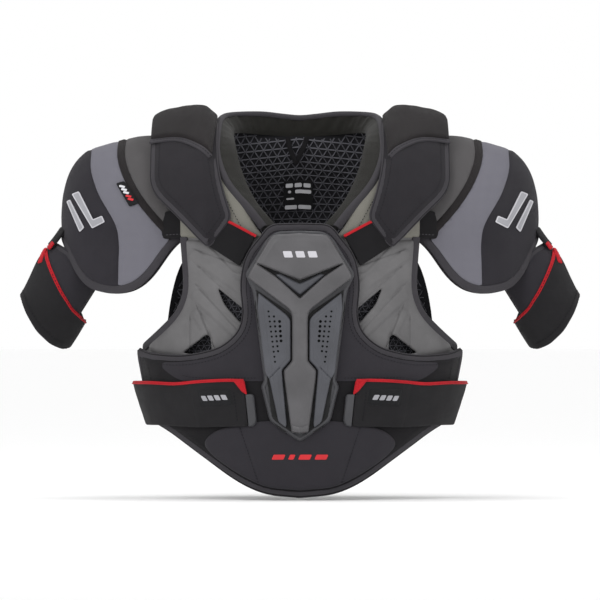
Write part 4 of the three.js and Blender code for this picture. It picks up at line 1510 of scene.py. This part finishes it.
panel("spine pad", spine_map, spine_line, 1.5, (148.5, 3.5, 3.5, SPINE_GROOVES, 0.9, 1.0), 131.0, RUBBER,
      "torso", SAME)

# ---------------------------------------------------------------- collar
# Half stations from the front end to the middle of the back: the outer edge, then the inner edge.
COLLAR_STATIONS = [
    ((41, -127, -101), (26, -108, -99)), ((51, -125, -88), (37, -107, -87)),
    ((61, -121, -76), (45, -103, -77)), ((73, -115, -63), (53, -97, -64)),
    ((83, -107, -49), (60, -89, -49)), ((90, -95, -33), (66, -77, -32)),
    ((93, -80, -18), (70, -62, -15)), ((93, -56, -1), (72, -42, -5)), ((92, -26, 12), (73, -16, 0)),
    ((90, 6, 20), (73, 14, 4)), ((84, 36, 26), (70, 40, 5)), ((69, 60, 28.5), (58, 60, 5)),
    ((42, 72, 29), (38, 70, 3.5)), ((18, 76, 26.5), (16, 74, 2)), ((0, 77, 25), (0, 75, 1.5))]
COLLAR_RINGS = 260
COLLAR_TOP = np.linspace(0, 1, 13)                  # v of a ring's points towards the neck
COLLAR_LOW = np.linspace(1, 0, 9)[1:-1]             # and of those behind them


def spline(points, count):
    """A smooth line through stations."""
    points = np.array(points, float)
    padded = np.concatenate([[2 * points[0] - points[1]], points, [2 * points[-1] - points[-2]]])
    result = []
    for s in np.linspace(0, len(points) - 1 - 1e-6, count):
        i, t = int(s), s - int(s)
        p0, p1, p2, p3 = padded[i:i + 4]
        result.append(0.5 * (2 * p1 + (p2 - p0) * t + (2 * p0 - 5 * p1 + 4 * p2 - p3) * t * t
                             + (3 * p1 - p0 - 3 * p2 + p3) * t ** 3))
    return np.array(result)


half_rows = [np.concatenate(pair) for pair in COLLAR_STATIONS]
mirror_row = np.array([-1, 1, 1, -1, 1, 1])
collar_rows = spline([row * mirror_row for row in half_rows[:-1]] + half_rows[::-1], 300)
collar_outer, collar_inner = collar_rows[:, :3], collar_rows[:, 3:]
tangent = np.gradient(collar_outer + collar_inner, axis=0)
collar_facing = np.cross(tangent, collar_outer - collar_inner)
collar_facing /= np.linalg.norm(collar_facing, axis=1)[:, None]
toward_neck = np.array([0, -60, 20]) - (collar_outer + collar_inner) / 2
collar_facing *= np.sign(np.sum(collar_facing * toward_neck, axis=1))[:, None]
collar_along = np.concatenate([[0], np.cumsum(np.linalg.norm(np.diff(collar_outer, axis=0), axis=1))])
collar_length = collar_along[-1]


def collar_map(u, v, offset):
    """u is millimetres along the outer edge, v 0 at the outer edge to 1 at the inner one, offset towards
    the neck."""
    u, v = np.asarray(u, float), np.asarray(v, float)

    def at(table):
        return np.stack([np.interp(u, collar_along, table[:, k]) for k in range(3)], axis=-1)

    return at(collar_outer) * (1 - v[..., None]) + at(collar_inner) * v[..., None] \
        + at(collar_facing) * np.asarray(offset + 0 * u)[..., None]


def collar_section(i):
    """A ring of the collar: plump and creased towards the neck, most of all at the back."""
    along = i / (COLLAR_RINGS - 1) * collar_length
    back_share = 1 - float(smoothstep(abs(along - collar_length / 2), 80, 140))
    spots = []
    for v in COLLAR_TOP:
        plump = 2.6 * (1 - (2 * v - 1) ** 4)
        crease = wobble(np.array([along + v * 9]), np.array([v * 16.0]), 81, 17.0, 2)[0]
        spots.append(collar_map(along, v, plump + crease * (0.4 + 1.5 * back_share) * math.sin(math.pi * v)))
    for v in COLLAR_LOW:
        spots.append(collar_map(along, v, -4.5 - 1.5 * math.sin(math.pi * v)))
    return spots


collar = sweep("collar pad", COLLAR_RINGS, collar_section, sharp=60)
loose_v = np.concatenate([COLLAR_TOP, 0 * COLLAR_LOW])
loose_ring = smoothstep(loose_v, 0.35, 0.6) * smoothstep(1 - loose_v, 0, 0.2)
FREE[collar.name] = np.tile(loose_ring, COLLAR_RINGS)
puff(collar, 2.5)
dress(collar, COLLAR, "torso", SAME)
# The collar binding's section: its v, for a collar 22 mm wide, and its offset.
COLLAR_BINDING = [(0.30, 2.4), (0.24, 3.3), (0.12, 3.2), (0.0, 2.2), (-0.06, 0.3), (-0.07, -2.5),
                  (-0.04, -4.6), (0.06, -5.8), (0.22, -5.9), (0.28, -4.8)]


def collar_edge_section(i):
    along = i / (COLLAR_RINGS - 1) * collar_length
    width = np.linalg.norm(collar_map(along, 0.0, 0.0) - collar_map(along, 1.0, 0.0))
    scale = 22.0 / max(float(width), 1.0) * 0.8
    return [collar_map(along, np.array(v * scale), h) for v, h in COLLAR_BINDING]


dress(sweep("collar binding", COLLAR_RINGS, collar_edge_section, sharp=60), BINDING, "torso")

# ---------------------------------------------------------------- hang loop and label
LOOP_RINGS = 60
LOOP = spline([(-14, 72, 1), (-11, 73, -12), (-7, 75, -22), (-4.5, 76, -26), (-2, 75, -22), (3, 73, -12),
               (8, 72, 1)], LOOP_RINGS)


def loop_section(i):
    forward = LOOP[min(i + 1, LOOP_RINGS - 1)] - LOOP[max(i - 1, 0)]
    forward /= np.linalg.norm(forward)
    across = np.cross(forward, np.array([0, -1.0, 0]))
    across /= np.linalg.norm(across)
    return [LOOP[i] + across * a + np.array([0, -b, 0]) for a, b in
            ((-2.8, 2.4), (-2.2, 3.0), (2.2, 3.0), (2.8, 2.4), (2.2, 1.8), (-2.2, 1.8))]


dress(sweep("hang loop", LOOP_RINGS, loop_section), WEBBING, "torso", SAME)


def back_v(z):
    """The v of back_map at height z in the middle of its inner side, below the bend."""
    return 2 * QUARTER - math.asin((z - YOKE) / float(arch_rise(0, 0.0))) / (math.pi / 2) * QUARTER


def label_shape(x0, z0, x1, z1):
    top, low = back_v(z0), back_v(z1)
    return rounded([(x0, top, 0.8), (x1, top, 0.8), (x1, low, 0.8), (x0, low, 0.8)], 1.2)


label_line = label_shape(-18.5, -45.5, 14.5, -79)
panel("size label", back_map, label_line, 1.8, -1.2, -1.9, LABEL_CLOTH, "torso", SAME)
label_marks = [label_shape(*c) for c in (
    (-16, -48.5, -8, -53), (-6, -48.5, 2, -53), (4, -48.5, 12, -53), (-13.5, -56.5, -10, -59.5),
    (-5.5, -56, 12.5, -60), (-15.5, -65, -6.5, -67), (-17, -73.5, -3.5, -78), (-2, -73.5, 12.5, -78))]
panel("label marks", back_map, label_line, 0.8, -1.6, -2.3, WHITE_PRINT, "torso",
      value=lambda u, v: np.max([field(u, v, mark) for mark in label_marks], axis=0))


# ---------------------------------------------------------------- floor, lights and finish
AIM = (0, 0, -0.18)           # what the lights point at
bpy.ops.mesh.primitive_plane_add(size=60, location=(0, 0, cad_box[0][2] - 0.004))
floor = bpy.context.active_object
floor.name = "floor"
plain = bpy.data.materials.new("pale floor")
plain.use_nodes = True
plain.node_tree.nodes["Principled BSDF"].inputs["Base Color"].default_value = (0.97, 0.97, 0.97, 1)
plain.node_tree.nodes["Principled BSDF"].inputs["Roughness"].default_value = 0.9
floor.data.materials.append(plain)
world = bpy.data.worlds.new("studio")
world.use_nodes = True
world.node_tree.nodes["Background"].inputs["Color"].default_value = (1, 1, 1, 1)
world.node_tree.nodes["Background"].inputs["Strength"].default_value = 1.0
bpy.context.scene.world = world
bpy.context.scene.view_settings.view_transform = "Standard"


def area_light(name, place, size, power):
    data = bpy.data.lights.new(name, "AREA")
    data.shape = "SQUARE"
    data.size = size
    data.energy = power
    lamp = bpy.data.objects.new(name, data)
    bpy.context.collection.objects.link(lamp)
    lamp.location = place
    lamp.rotation_euler = (Vector(AIM) - Vector(place)).to_track_quat("-Z", "Y").to_euler()


area_light("key", (-1.2, -2.0, 1.0), 1.2, 19)
area_light("fill", (1.6, -1.8, 0.4), 1.4, 9)
area_light("top", (0, 0.2, 1.9), 1.2, 8)
